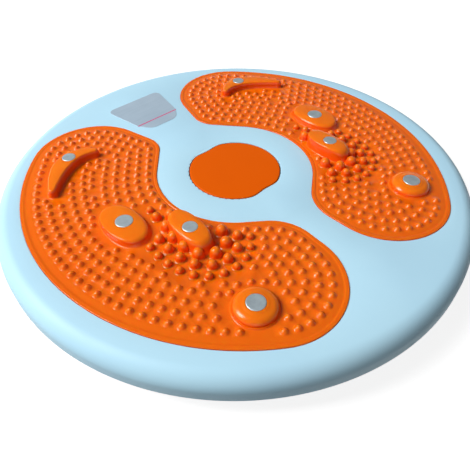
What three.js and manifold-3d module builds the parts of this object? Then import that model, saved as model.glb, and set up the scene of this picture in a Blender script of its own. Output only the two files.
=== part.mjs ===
// Waist twisting disc: a round board with two nubbed foot pads turns on a ball race
// over a base that stands still. Millimetres, +Z up, toes towards +Y.
// The origin is on the floor, on the axis that the board turns about.

import * as THREE from 'three';
import { mergeVertices } from 'three/addons/utils/BufferGeometryUtils.js';
import Module from 'manifold-3d';

const wasm = await Module();
wasm.setup();

// Clearances
const seat_gap = 0.2;
const run_gap = 0.35;
const overrun = 2;

// Board: the turning disc that the user stands on
const disc_radius = 140;
const skirt_depth = 14.4;
const shoulder_radius = 8.7;
const shell_wall = 3;
const rib_depth = 4.85;
const rib_thickness = 2;
const rib_count = 8;
const pocket_depth = 2.4;
const tray_floor = 2.6;
const pad_side_gap = 0.6;

// Base: the plate under the board
const foot_stand = 2.5;
const base_radius = 118;
const base_floor = 2.8;
const base_wall = 2.8;
const base_edge_round = 4;
const base_rim_rise = 7;
const hub_radius = 14;

// Rubber feet
const foot_count = 6;
const foot_radius = 11;
const foot_tread_bevel = 1.2;
const foot_sunk = 1.5;
const foot_socket_wall = 2.6;
const foot_edge_margin = 4;

// Ball race: two pressed rings, the balls and their cage
const race_pitch_radius = 78;
const ball_count = 12;
const ball_radius = 4.5;
const race_sheet = 1.5;
const race_floor_air = 1.8;
const race_flange_reach = 3.6;
const race_lip_wall = 1.8;
const race_lip_share = 0.8;
const race_half_gap_share = 0.55;
const cage_thickness = 2.4;
const cage_rim = 2.4;

// Centre bolt, its bush, washers and nut, and the cover over them
const bolt_radius = 4;
const bolt_head_radius = 9;
const bolt_head_height = 3.6;
const bolt_spare_thread = 0.8;
const bush_wall = 2.2;
const bush_flange_reach = 2.6;
const bush_flange_height = 1.4;
const washer_radius = 9;
const washer_thickness = 1.2;
const thrust_washer_radius = 13;
const thrust_washer_thickness = 0.8;
const nut_flat_radius = 6.5;
const nut_height = 6.2;
const well_radius = 20;
const well_floor = 3;
const cover_radius = 27.6;
const cover_thickness = 2.4;
const cover_proud = 0.2;
const cover_side_gap = 0.5;
const cover_edge_round = 0.7;
const cover_spigot_depth = 3;
const cover_spigot_wall = 1.5;
const cover_notch_depth = 1.7;
const cover_notch_half_angle = 0.36;

// Foot pads: outline circles as shares of the board's radius, for the left pad. The belt
// runs round them in this order, and a negative radius is a circle it passes on the inside.
const pad_outline_shares = {
  outer_edge: { x: 0.05, y: 0.0143, radius: 0.9336 },
  heel_lobe: { bearing: 4.117, radius: 0.2607 },
  heel_corner: { x: -0.2486, y: -0.47, radius: 0.1857 },
  waist: { x: 0, y: 0, radius: -0.3386 },
  toe_corner: { x: -0.2464, y: 0.4143, radius: 0.1 },
  toe_lobe: { bearing: 2.333, radius: 0.2571 },
};
const pad_lip_rise = 1.05;
const pad_lip_width = 4.2;
const lip_side_share = 0.5;
const lip_edge_shares = { inset: 0.16, rise: 0.9 };
const lip_crest_share = 0.36;
const pad_field_rise = 0.35;
const pad_boss_root = 0.6;

// Bare band between the pad's edge and its first row of nubs
const band_outer = 8.8;
const band_lobe = 7.8;
const band_corner = 6.6;
const band_waist = 5.6;

// Small nubs in rows parallel to the edge, and tall ones in rings round the arch boss
const nub_radius = 1.75;
const nub_height = 1.9;
const nub_pitch = 6.4;
const nub_row_pitch = 6.5;
const nub_fill_share = 0.88;
const nub_fill_rows = 4;
const nub_sides = 3;
const tall_nub_radius = 2.7;
const tall_nub_height = 5.4;
const tall_nub_pitch = 8.2;
const tall_ring_first = 5.6;
const tall_ring_pitch = 7;
const tall_ring_count = 3;
const tall_nub_sides = 4;
const tall_nub_top_share = 0.5;
const row_slack = 0.8;

// Bosses on each pad: an oval one, a higher one under the arch, a round one at the heel and
// a crescent ridge under the toes
const oval_half_width = 10.8;
const oval_half_length = 17.8;
const oval_height = 4.85;
const arch_half_width = 8;
const arch_half_length = 15.8;
const arch_height = 8;
const heel_half_width = 11.5;
const heel_height = 4.8;
const ridge_half_end = 3;
const ridge_half_middle = 6.4;
const ridge_height = 5.4;
const ridge_draft = 0.8;
const wide_magnet_radius = 4.75;
const small_magnet_radius = 4;
const boss_edge = 0.9;
const boss_dome = 0.45;
const boss_dome_share = 0.5;
const oval_boss = {
  place_shares: { x: -0.551, y: 0.0186 }, top_share: 0.87, fullness: 2.2,
  half_x: oval_half_width, half_y: oval_half_length, height: oval_height,
  magnet_radius: wide_magnet_radius,
};
const arch_boss = {
  place_shares: { x: -0.401, y: -0.194 }, top_share: 0.87, fullness: 2.5,
  half_x: arch_half_width, half_y: arch_half_length, height: arch_height,
  magnet_radius: small_magnet_radius,
};
const heel_boss = {
  place_shares: { x: -0.449, y: -0.5864 }, top_share: 0.66, fullness: 2,
  half_x: heel_half_width, half_y: heel_half_width, height: heel_height,
  magnet_radius: wide_magnet_radius,
};
const ridge_place_shares = {
  start: { x: -0.664, y: 0.375 }, crown: { x: -0.529, y: 0.514 }, end: { x: -0.396, y: 0.5 },
};
const ridge_magnet_share = 0.58;
const magnet_thickness = 2.4;
const magnet_proud = 0.25;
const boss_keep_out = 2.6;

// How finely round forms are cut
const board_steps = 40;
const race_steps = 32;
const well_steps = 20;
const boss_steps = 14;
const ridge_steps = 7;
const small_steps = 10;
const foot_steps = 10;
const cage_steps = 32;
const cage_hole_steps = 8;
const ball_steps = { around: 7, over: 4 };
const shoulder_steps = 3;
const outline_step = 15;
const outline_turn = 0.52;

// Levels, worked out from the floor upwards
const base_bottom = foot_stand;
const base_floor_top = base_bottom + base_floor;
const trough_bottom = base_floor_top + race_floor_air;
const ball_level = trough_bottom + race_sheet + run_gap + ball_radius;
const race_half_gap = ball_radius * race_half_gap_share;
const groove_radius = ball_radius + run_gap;
const trough_top = ball_level + groove_radius + race_sheet;
const rib_bottom = trough_top + run_gap;
const board_underside = rib_bottom + rib_depth;
const board_top = board_underside + shell_wall;
const skirt_bottom = board_top - skirt_depth;
const pocket_level = board_top - pocket_depth;
const cover_top = board_top + cover_proud;
const cover_ledge = cover_top - cover_thickness - seat_gap;
const well_depth_used = washer_thickness + nut_height + bolt_spare_thread + 4 * seat_gap;
const well_top = cover_ledge - well_depth_used - bush_flange_height;
const well_bottom = well_top - well_floor;
const hub_top = well_bottom - thrust_washer_thickness - 2 * seat_gap;
const bolt_head_top = base_bottom + bolt_head_height + 2 * seat_gap;
const field_level = board_top + pad_field_rise;

// Radii that follow from the sizes above
const bush_bore = bolt_radius + run_gap;
const bush_outer = bush_bore + bush_wall;
const bush_hole = bush_outer + seat_gap;
const flange_half = groove_radius + race_flange_reach;
const cage_half = groove_radius + cage_rim;
const foot_ring_radius = base_radius - foot_radius - foot_edge_margin;
const cover_recess = cover_radius + cover_side_gap;

const materials = {
  board: new THREE.MeshStandardMaterial({ color: 0xc6e3f0, roughness: 0.42, metalness: 0 }),
  pad: new THREE.MeshStandardMaterial({ color: 0xf06c14, roughness: 0.4, metalness: 0 }),
  magnet: new THREE.MeshStandardMaterial({ color: 0xa9b3bb, roughness: 0.35, metalness: 0.9 }),
  steel: new THREE.MeshStandardMaterial({ color: 0xb8bcc0, roughness: 0.3, metalness: 1 }),
  base: new THREE.MeshStandardMaterial({ color: 0x9fb9c6, roughness: 0.5, metalness: 0 }),
  rubber: new THREE.MeshStandardMaterial({ color: 0x26282a, roughness: 0.85, metalness: 0 }),
  cage: new THREE.MeshStandardMaterial({ color: 0xe8e4d8, roughness: 0.55, metalness: 0 }),
};

// Turns a closed three.js geometry into a solid that can be cut and joined
function toSolid(geometry) {
  const bare = geometry.clone();
  bare.deleteAttribute('normal');
  bare.deleteAttribute('uv');
  const merged = mergeVertices(bare);
  const corners = merged.index.array;
  const kept = [];
  for (let i = 0; i < corners.length; i += 3) {
    const [a, b, c] = [corners[i], corners[i + 1], corners[i + 2]];
    if (a !== b && b !== c && c !== a) kept.push(a, b, c);
  }
  return new wasm.Manifold(new wasm.Mesh({
    numProp: 3,
    vertProperties: Float32Array.from(merged.attributes.position.array),
    triVerts: Uint32Array.from(kept),
  }));
}

function toGeometry(solid) {
  const mesh = solid.getMesh();
  const geometry = new THREE.BufferGeometry();
  geometry.setAttribute('position', new THREE.BufferAttribute(mesh.vertProperties, 3));
  geometry.setIndex(new THREE.BufferAttribute(mesh.triVerts, 1));
  const flat = geometry.toNonIndexed();
  flat.computeVertexNormals();
  return flat;
}

// Turns a profile of [radius, height] pairs, listed anticlockwise, about the Z axis
function revolve(profile, steps) {
  const points = profile.map(([radius, height]) => new THREE.Vector2(radius, height));
  if (profile[0][0] > 0) points.push(points[0].clone());
  const turned = new THREE.LatheGeometry(points, steps).rotateX(Math.PI / 2);
  return toSolid(turned);
}

// Points of an arc about a centre, from one angle to another, ends included
function arc(centre_radius, centre_height, radius, start, end, steps) {
  return Array.from({ length: steps + 1 }, (_, k) => {
    const angle = start + ((end - start) * k) / steps;
    return [centre_radius + radius * Math.cos(angle), centre_height + radius * Math.sin(angle)];
  });
}

// Skins a stack of rings with the same number of points, and closes both ends
function loft(rings) {
  const count = rings[0].length;
  const positions = rings.flat().flatMap((point) => [point.x, point.y, point.z]);
  const index = [];
  for (let ring = 0; ring + 1 < rings.length; ring += 1) {
    for (let k = 0; k < count; k += 1) {
      const next = (k + 1) % count;
      const [a, b] = [ring * count + k, ring * count + next];
      index.push(a, b, b + count, a, b + count, a + count);
    }
  }
  const flat_ring = rings[0].map((point) => new THREE.Vector2(point.x, point.y));
  const last_ring = rings[rings.length - 1].map((point) => new THREE.Vector2(point.x, point.y));
  const last = (rings.length - 1) * count;
  for (const [a, b, c] of THREE.ShapeUtils.triangulateShape(flat_ring, [])) index.push(a, c, b);
  for (const [a, b, c] of THREE.ShapeUtils.triangulateShape(last_ring, [])) {
    index.push(last + a, last + b, last + c);
  }
  const geometry = new THREE.BufferGeometry();
  geometry.setAttribute('position', new THREE.Float32BufferAttribute(positions, 3));
  geometry.setIndex(index);
  return geometry;
}

// Runs a belt round circles in order. Each point keeps its outward normal, so that a
// smaller copy of the outline is the same points moved inwards.
function belt(circles) {
  const count = circles.length;
  const full_turn = 2 * Math.PI;
  const leaving = circles.map((circle, i) => {
    const next = circles[(i + 1) % count];
    const [dx, dy] = [next.x - circle.x, next.y - circle.y];
    const lean = (circle.radius - next.radius) / Math.hypot(dx, dy);
    return Math.atan2(dy, dx) - Math.acos(THREE.MathUtils.clamp(lean, -1, 1));
  });
  const points = [];
  circles.forEach((circle, i) => {
    const start = leaving[(i + count - 1) % count];
    const forward = THREE.MathUtils.euclideanModulo(leaving[i] - start, full_turn);
    const turn = circle.radius > 0 ? forward : forward - full_turn;
    const by_length = Math.ceil(Math.abs(turn * circle.radius) / outline_step);
    const steps = Math.max(1, by_length, Math.ceil(Math.abs(turn) / outline_turn));
    for (let k = 0; k <= steps; k += 1) {
      const angle = start + (turn * k) / steps;
      const [nx, ny] = [Math.cos(angle), Math.sin(angle)];
      const [x, y] = [circle.x + circle.radius * nx, circle.y + circle.radius * ny];
      const before = points[points.length - 1];
      const far_enough = !before || Math.hypot(x - before.x, y - before.y) > seat_gap;
      if (far_enough) points.push({ x, y, nx, ny });
    }
  });
  return points;
}

// Circles of the left pad's outline in millimetres, each drawn in by its own inset
function padCircles(insets) {
  const { outer_edge, heel_lobe, heel_corner, waist, toe_corner, toe_lobe } = pad_outline_shares;
  const scaled = (share, inset) => ({
    x: share.x * disc_radius, y: share.y * disc_radius, radius: share.radius * disc_radius - inset,
  });
  const lobe = (share, inset) => {
    const reach = (outer_edge.radius - share.radius) * disc_radius;
    return {
      x: outer_edge.x * disc_radius + reach * Math.cos(share.bearing),
      y: outer_edge.y * disc_radius + reach * Math.sin(share.bearing),
      radius: share.radius * disc_radius - inset,
    };
  };
  return [
    scaled(outer_edge, insets.outer), lobe(heel_lobe, insets.lobe),
    scaled(heel_corner, insets.corner), scaled(waist, insets.waist),
    scaled(toe_corner, insets.corner), lobe(toe_lobe, insets.lobe),
  ];
}

const no_inset = { outer: 0, lobe: 0, corner: 0, waist: 0 };
const pad_outline = belt(padCircles(no_inset));
const field_outline = belt(padCircles({
  outer: band_outer, lobe: band_lobe, corner: band_corner, waist: band_waist,
}));

// One ring of an outline, drawn in by an inset and laid at a height
function ringOf(outline, inset, z) {
  return outline.map((p) => new THREE.Vector3(p.x - p.nx * inset, p.y - p.ny * inset, z));
}

// Mirrors a closed geometry across the plane between the feet, faces still pointing out
function mirrored(geometry) {
  const copy = geometry.clone();
  const corners = copy.attributes.position;
  for (let i = 0; i < corners.count; i += 3) {
    const [second, third] = [i + 1, i + 2].map((k) => new THREE.Vector3().fromBufferAttribute(corners, k));
    corners.setXYZ(i, -corners.getX(i), corners.getY(i), corners.getZ(i));
    corners.setXYZ(i + 1, -third.x, third.y, third.z);
    corners.setXYZ(i + 2, -second.x, second.y, second.z);
  }
  copy.computeVertexNormals();
  return copy;
}

const object = new THREE.Group();

function addPiece(name, solid_or_geometry, material) {
  const is_geometry = solid_or_geometry.isBufferGeometry === true;
  const geometry = is_geometry ? solid_or_geometry : toGeometry(solid_or_geometry);
  const mesh = new THREE.Mesh(geometry, material);
  mesh.name = name;
  object.add(mesh);
  return mesh;
}

// A round bar between two heights, standing at a place
function roundBar(radius, bottom, top, x = 0, y = 0, steps = small_steps) {
  const bar = new THREE.CylinderGeometry(radius, radius, top - bottom, steps);
  bar.rotateX(Math.PI / 2).translate(x, y, (bottom + top) / 2);
  return toSolid(bar);
}

function polar(radius, angle) {
  return [radius * Math.cos(angle), radius * Math.sin(angle)];
}

// Board shell: top, rounded shoulder and skirt, open at the middle for the cover well
function boardShell() {
  const inner_shoulder = shoulder_radius - shell_wall;
  const bend_radius = disc_radius - shoulder_radius;
  const bend_level = board_top - shoulder_radius;
  return revolve([
    [cover_recess, board_underside],
    ...arc(bend_radius, bend_level, inner_shoulder, Math.PI / 2, 0, shoulder_steps - 1),
    [disc_radius - shell_wall, skirt_bottom], [disc_radius, skirt_bottom],
    ...arc(bend_radius, bend_level, shoulder_radius, 0, Math.PI / 2, shoulder_steps),
    [cover_recess, board_top],
  ], board_steps);
}

// Cover well: a stepped cup in the middle of the board, with the bush hole in its floor
function coverWell() {
  return revolve([
    [bush_hole, well_bottom], [well_radius + shell_wall, well_bottom],
    [well_radius + shell_wall, cover_ledge - shell_wall],
    [cover_recess + shell_wall, cover_ledge - shell_wall],
    [cover_recess + shell_wall, board_top], [cover_recess, board_top],
    [cover_recess, cover_ledge], [well_radius, cover_ledge],
    [well_radius, well_top], [bush_hole, well_top],
  ], well_steps);
}

// Seat of a race ring: two ring walls under its flange, the outer one with a centring lip.
// Up is 1 for the seat in the board and -1 for the seat in the base.
function raceSeat(up, root_level) {
  const seat_level = ball_level + up * (race_half_gap + race_sheet + seat_gap);
  const lip_level = seat_level - up * race_sheet * race_lip_share;
  const trough_half = groove_radius + race_sheet;
  const outer = race_pitch_radius + flange_half + seat_gap;
  const outer_wall = [
    [race_pitch_radius + trough_half, root_level], [race_pitch_radius + trough_half, seat_level],
    [outer, seat_level], [outer, lip_level],
    [outer + race_lip_wall, lip_level], [outer + race_lip_wall, root_level],
  ];
  const inner_wall = [
    [race_pitch_radius - flange_half, root_level], [race_pitch_radius - flange_half, seat_level],
    [race_pitch_radius - trough_half, seat_level], [race_pitch_radius - trough_half, root_level],
  ];
  const walls = [inner_wall, outer_wall].map((loop) => (up > 0 ? loop : loop.reverse()));
  return revolve(walls[0], race_steps).add(revolve(walls[1], race_steps));
}

function boardRib(angle) {
  const inner = cover_recess + shell_wall / 2;
  const outer = disc_radius - shoulder_radius;
  const rib = new THREE.BoxGeometry(outer - inner, rib_thickness, rib_depth + shell_wall / 2);
  rib.translate((inner + outer) / 2, 0, rib_bottom + (rib_depth + shell_wall / 2) / 2);
  return toSolid(rib.rotateZ(angle));
}

function buildBoard() {
  let board = boardShell().add(coverWell()).add(raceSeat(1, board_underside + shell_wall / 2));
  for (let k = 0; k < rib_count; k += 1) {
    board = board.add(boardRib(((k + 1 / 2) * 2 * Math.PI) / rib_count));
  }
  const tray_bottom = pocket_level - tray_floor;
  const tray = loft([
    ringOf(pad_outline, -pad_side_gap - tray_floor, tray_bottom),
    ringOf(pad_outline, -pad_side_gap - tray_floor, board_underside + shell_wall / 2),
  ]).toNonIndexed();
  const pocket = loft([
    ringOf(pad_outline, -pad_side_gap, pocket_level),
    ringOf(pad_outline, -pad_side_gap, board_top + overrun),
  ]).toNonIndexed();
  board = board.add(toSolid(tray)).add(toSolid(mirrored(tray)));
  board = board.subtract(toSolid(pocket)).subtract(toSolid(mirrored(pocket)));
  addPiece('top_disc', board, materials.board);
}

// Boss standing on the pad: an oval that narrows upwards to a rounded top
function bossCentre(boss) {
  return { x: boss.place_shares.x * disc_radius, y: boss.place_shares.y * disc_radius };
}

// An oval with a fullness of 2 is an ellipse, and a higher one has fuller shoulders
function ovalRing(boss, share, z) {
  const centre = bossCentre(boss);
  const full = (value) => Math.sign(value) * Math.abs(value) ** (2 / boss.fullness);
  return Array.from({ length: boss_steps }, (_, k) => {
    const angle = (2 * Math.PI * k) / boss_steps;
    const [x, y] = [boss.half_x * full(Math.cos(angle)), boss.half_y * full(Math.sin(angle))];
    return new THREE.Vector3(centre.x + x * share, centre.y + y * share, z);
  });
}

function ovalBoss(boss) {
  const crown = board_top + boss.height;
  const side_share = (1 + boss.top_share) / 2;
  return toSolid(loft([
    ovalRing(boss, 1, field_level - pad_boss_root),
    ovalRing(boss, side_share, crown - boss_edge - boss_dome),
    ovalRing(boss, boss.top_share, crown - boss_dome),
    ovalRing(boss, boss_dome_share * boss.top_share, crown),
  ]));
}

// Ridge: a crescent along the arc through its two ends and its crown
function ridgeCurve() {
  const at = (shares) => new THREE.Vector2(shares.x * disc_radius, shares.y * disc_radius);
  const [start, crown, end] = Object.values(ridge_place_shares).map(at);
  const control = crown.clone().multiplyScalar(2).sub(start.clone().add(end).multiplyScalar(1 / 2));
  return new THREE.QuadraticBezierCurve(start, control, end);
}

function ridgeRing(curve, shrink, z) {
  const stations = ridge_steps;
  const [left, right] = [[], []];
  for (let k = 0; k <= stations; k += 1) {
    const share = k / stations;
    const point = curve.getPoint(share);
    const tangent = curve.getTangent(share);
    const swell = Math.sin(Math.PI * share);
    const half = ridge_half_end + (ridge_half_middle - ridge_half_end) * swell - shrink;
    left.push(new THREE.Vector3(point.x - tangent.y * half, point.y + tangent.x * half, z));
    right.push(new THREE.Vector3(point.x + tangent.y * half, point.y - tangent.x * half, z));
  }
  const cap = (share, heading) => {
    const point = curve.getPoint(share);
    const tangent = curve.getTangent(share);
    const half = ridge_half_end - shrink;
    return new THREE.Vector3(point.x + heading * tangent.x * half, point.y + heading * tangent.y * half, z);
  };
  return [...right, cap(1, 1), ...left.reverse(), cap(0, -1)];
}

function ridgeBoss(curve) {
  const crown = board_top + ridge_height;
  return toSolid(loft([
    ridgeRing(curve, 0, field_level - pad_boss_root),
    ridgeRing(curve, ridge_draft / 2, crown - ridge_draft),
    ridgeRing(curve, ridge_draft * 2, crown),
  ]));
}

// Distance from a place to the nearest stretch of an outline
function distanceTo(outline, x, y) {
  let nearest = Infinity;
  outline.forEach((a, i) => {
    const b = outline[(i + 1) % outline.length];
    const [dx, dy] = [b.x - a.x, b.y - a.y];
    const along = ((x - a.x) * dx + (y - a.y) * dy) / (dx * dx + dy * dy);
    const share = THREE.MathUtils.clamp(along, 0, 1);
    nearest = Math.min(nearest, Math.hypot(x - a.x - dx * share, y - a.y - dy * share));
  });
  return nearest;
}

function isInside(outline, x, y) {
  let inside = false;
  outline.forEach((a, i) => {
    const b = outline[(i + 1) % outline.length];
    const crosses = a.y > y !== b.y > y;
    if (crosses && x < ((b.x - a.x) * (y - a.y)) / (b.y - a.y) + a.x) inside = !inside;
  });
  return inside;
}

// Places spread evenly along a closed outline drawn in by an inset
function evenPlaces(outline, inset, pitch) {
  const ring = outline.map((p) => ({ x: p.x - p.nx * inset, y: p.y - p.ny * inset }));
  const lengths = ring.map((a, i) => {
    const b = ring[(i + 1) % ring.length];
    return Math.hypot(b.x - a.x, b.y - a.y);
  });
  const total = lengths.reduce((sum, length) => sum + length, 0);
  const count = Math.round(total / pitch);
  const places = [];
  let [stretch, passed] = [0, 0];
  for (let k = 0; k < count; k += 1) {
    const wanted = (total * k) / count;
    while (passed + lengths[stretch] < wanted) {
      passed += lengths[stretch];
      stretch += 1;
    }
    const [a, b] = [ring[stretch], ring[(stretch + 1) % ring.length]];
    const share = (wanted - passed) / lengths[stretch];
    places.push({ x: a.x + (b.x - a.x) * share, y: a.y + (b.y - a.y) * share });
  }
  return places;
}

// Tall nubs stand in rings round the arch boss, lower in each ring further out
function tallNubs(boss_outlines) {
  const nubs = [];
  const arch = boss_outlines.arch;
  for (let ring = 0; ring < tall_ring_count; ring += 1) {
    const inset = -(tall_ring_first + ring * tall_ring_pitch);
    const fade = ring / tall_ring_count;
    const radius = tall_nub_radius + (nub_radius - tall_nub_radius) * fade;
    const height = tall_nub_height + (nub_height - tall_nub_height) * fade;
    for (const place of evenPlaces(arch, inset, tall_nub_pitch)) {
      nubs.push({ ...place, radius, height, sides: tall_nub_sides, top_share: tall_nub_top_share });
    }
  }
  const in_field = nubs.filter((nub) => isInside(field_outline, nub.x, nub.y));
  return in_field.filter((nub) => clearOfBosses(nub, boss_outlines));
}

function clearOfBosses(nub, boss_outlines) {
  return Object.values(boss_outlines).every((outline) => {
    const clear = distanceTo(outline, nub.x, nub.y) > nub.radius + boss_keep_out / 2;
    return clear && !isInside(outline, nub.x, nub.y);
  });
}

function distanceBetween(a, b) {
  return Math.hypot(a.x - b.x, a.y - b.y);
}

// Small nubs stand in rows parallel to the field's edge, from the edge to the middle. Where
// rows from two sides meet, the room between them is filled from finer rows.
function smallNubs(boss_outlines, tall) {
  const nubs = [];
  const size = { radius: nub_radius, height: nub_height, sides: nub_sides, top_share: 0 };
  const addRow = (inset, pitch, apart) => {
    for (const place of evenPlaces(field_outline, inset, pitch)) {
      const nub = { ...place, ...size };
      const edge = distanceTo(field_outline, nub.x, nub.y);
      const on_row = inset === 0 || (isInside(field_outline, nub.x, nub.y) && edge > inset - row_slack);
      const near = (other) => distanceBetween(other, nub) < apart + other.radius - nub_radius;
      if (on_row && clearOfBosses(nub, boss_outlines) && ![...nubs, ...tall].some(near)) nubs.push(nub);
    }
  };
  for (let inset = 0; inset < disc_radius / 2; inset += nub_row_pitch) {
    addRow(inset, nub_pitch, nub_pitch - nub_radius / 2);
  }
  for (let inset = 0; inset < disc_radius / 2; inset += nub_row_pitch / nub_fill_rows) {
    addRow(inset, nub_pitch / nub_fill_rows, nub_pitch * nub_fill_share);
  }
  return nubs;
}

// All nubs as one geometry of separate closed cones, rooted just under the pad's field
function nubCones(nubs) {
  const positions = [];
  for (const nub of nubs) {
    const cone_height = nub.height + pad_boss_root;
    const cone = new THREE.CylinderGeometry(nub.radius * nub.top_share, nub.radius, cone_height, nub.sides);
    cone.rotateX(Math.PI / 2);
    cone.translate(nub.x, nub.y, field_level - pad_boss_root + cone_height / 2);
    positions.push(...cone.toNonIndexed().attributes.position.array);
  }
  const geometry = new THREE.BufferGeometry();
  geometry.setAttribute('position', new THREE.Float32BufferAttribute(positions, 3));
  return geometry;
}

// Outline of a boss's foot with outward normals, for the rings and rows beside it
function footOutline(ring) {
  const centre = ring.reduce((sum, p) => sum.add(p), new THREE.Vector3()).divideScalar(ring.length);
  return ring.map((p, i) => {
    const before = ring[(i + ring.length - 1) % ring.length];
    const after = ring[(i + 1) % ring.length];
    const normal = new THREE.Vector2(after.y - before.y, before.x - after.x).normalize();
    const outwards = normal.x * (p.x - centre.x) + normal.y * (p.y - centre.y) > 0 ? 1 : -1;
    return { x: p.x, y: p.y, nx: normal.x * outwards, ny: normal.y * outwards };
  });
}

// Seats of the four magnets in a pad: place, radius and the height of the face
function magnetSeats(curve) {
  const bosses = { oval: oval_boss, arch: arch_boss, heel: heel_boss };
  const seats = Object.entries(bosses).map(([name, boss]) => {
    const centre = bossCentre(boss);
    return {
      name, x: centre.x, y: centre.y, radius: boss.magnet_radius,
      face: board_top + boss.height + magnet_proud,
    };
  });
  const place = curve.getPoint(ridge_magnet_share);
  return [...seats, {
    name: 'ridge', x: place.x, y: place.y, radius: small_magnet_radius,
    face: board_top + ridge_height + magnet_proud,
  }];
}

function buildPads() {
  const curve = ridgeCurve();
  const boss_outlines = {
    oval: footOutline(ovalRing(oval_boss, 1, 0)),
    arch: footOutline(ovalRing(arch_boss, 1, 0)),
    heel: footOutline(ovalRing(heel_boss, 1, 0)),
    ridge: footOutline(ridgeRing(curve, 0, 0)),
  };
  let pad = toSolid(loft([
    ringOf(pad_outline, 0, pocket_level + seat_gap),
    ringOf(pad_outline, 0, board_top + pad_lip_rise * lip_side_share),
    ringOf(pad_outline, pad_lip_width * lip_edge_shares.inset, board_top + pad_lip_rise * lip_edge_shares.rise),
    ringOf(pad_outline, pad_lip_width * lip_crest_share, board_top + pad_lip_rise),
    ringOf(pad_outline, pad_lip_width, field_level),
  ]));
  for (const boss of [oval_boss, arch_boss, heel_boss]) pad = pad.add(ovalBoss(boss));
  pad = pad.add(ridgeBoss(curve));
  const tall = tallNubs(boss_outlines);
  const small = smallNubs(boss_outlines, tall);
  pad = pad.add(toSolid(nubCones([...tall, ...small])));
  const seats = magnetSeats(curve);
  for (const seat of seats) {
    const socket_bottom = seat.face - magnet_thickness - seat_gap;
    const socket_radius = seat.radius + seat_gap;
    pad = pad.subtract(roundBar(socket_radius, socket_bottom, seat.face + overrun, seat.x, seat.y));
  }
  const left = toGeometry(pad);
  addPiece('left_foot_pad', left, materials.pad);
  addPiece('right_foot_pad', mirrored(left), materials.pad);
  for (const seat of seats) {
    const disc = toGeometry(roundBar(seat.radius, seat.face - magnet_thickness, seat.face, seat.x, seat.y));
    addPiece(`left_${seat.name}_magnet`, disc, materials.magnet);
    addPiece(`right_${seat.name}_magnet`, mirrored(disc), materials.magnet);
  }
}

// Centre cover: a flat lid with two finger notches and a spigot that drops into the well
function coverRing(inset, z) {
  const steps = board_steps;
  return Array.from({ length: steps }, (_, k) => {
    const angle = (2 * Math.PI * k) / steps;
    const off_notch = Math.abs(Math.abs(angle - Math.PI) - Math.PI / 2) / cover_notch_half_angle;
    const dip = off_notch < 1 ? cover_notch_depth * Math.cos((off_notch * Math.PI) / 2) : 0;
    const [x, y] = polar(cover_radius - dip - inset, angle);
    return new THREE.Vector3(x, y, z);
  });
}

function buildCover() {
  const bottom = cover_ledge + seat_gap;
  const lid = toSolid(loft([
    coverRing(0, bottom), coverRing(0, cover_top - cover_edge_round),
    coverRing(cover_edge_round, cover_top),
  ]));
  const spigot_outer = well_radius - run_gap;
  const spigot = revolve([
    [spigot_outer - cover_spigot_wall, bottom - cover_spigot_depth],
    [spigot_outer, bottom - cover_spigot_depth],
    [spigot_outer, bottom + cover_thickness / 2],
    [spigot_outer - cover_spigot_wall, bottom + cover_thickness / 2],
  ], small_steps);
  addPiece('centre_cover', lid.add(spigot), materials.pad);
}

// Base shell: floor with a rounded edge and a low rim, open at the middle for the hub
function baseShell() {
  const bend_radius = base_radius - base_edge_round;
  const bend_level = base_bottom + base_edge_round;
  const rim_top = base_floor_top + base_rim_rise;
  const inner_radius = base_radius - base_wall;
  return revolve([
    [bolt_head_radius + run_gap, base_bottom],
    ...arc(bend_radius, bend_level, base_edge_round, -Math.PI / 2, 0, shoulder_steps - 1),
    [base_radius, rim_top], [inner_radius, rim_top],
    [inner_radius, bend_level], [bend_radius, base_floor_top],
    [bolt_head_radius + run_gap, base_floor_top],
  ], race_steps);
}

// Base hub: the column that the bolt stands in, recessed below for its head
function baseHub() {
  const bolt_hole = bolt_radius + seat_gap;
  const head_recess = bolt_head_radius + run_gap;
  return revolve([
    [bolt_hole, bolt_head_top], [head_recess, bolt_head_top], [head_recess, base_bottom],
    [hub_radius, base_bottom], [hub_radius, hub_top], [bolt_hole, hub_top],
  ], well_steps);
}

function buildBase() {
  let base = baseShell().add(baseHub()).add(raceSeat(-1, base_floor_top - base_floor / 2));
  const rib_inner = hub_radius - base_wall / 2;
  const rib_outer = race_pitch_radius - flange_half - race_lip_wall / 2;
  const rib_height = ball_level - race_half_gap - race_sheet - base_floor_top;
  const socket_top = base_bottom + foot_sunk + foot_socket_wall;
  for (let k = 0; k < foot_count; k += 1) {
    const angle = (2 * Math.PI * k) / foot_count;
    const [x, y] = polar(foot_ring_radius, angle);
    const rib = new THREE.BoxGeometry(rib_outer - rib_inner, rib_thickness, rib_height + base_floor / 2);
    rib.translate((rib_inner + rib_outer) / 2, 0, base_floor_top + (rib_height - base_floor / 2) / 2);
    base = base.add(toSolid(rib.rotateZ(angle)));
    const boss_radius = foot_radius + foot_socket_wall;
    base = base.add(roundBar(boss_radius, base_bottom + base_floor / 2, socket_top, x, y, foot_steps));
    const socket_radius = foot_radius + seat_gap;
    const socket_floor = base_bottom + foot_sunk;
    base = base.subtract(roundBar(socket_radius, base_bottom - overrun, socket_floor, x, y, foot_steps));
  }
  addPiece('base_plate', base, materials.base);
}

function buildFeet() {
  for (let k = 0; k < foot_count; k += 1) {
    const foot_top = base_bottom + foot_sunk - seat_gap;
    const foot = revolve([
      [0, 0], [foot_radius - foot_tread_bevel, 0], [foot_radius, foot_tread_bevel],
      [foot_radius, foot_top], [0, foot_top],
    ], foot_steps);
    const mesh = addPiece(`rubber_foot_${k + 1}`, foot, materials.rubber);
    const [x, y] = polar(foot_ring_radius, (2 * Math.PI * k) / foot_count);
    mesh.position.set(x, y, 0);
  }
}

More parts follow.
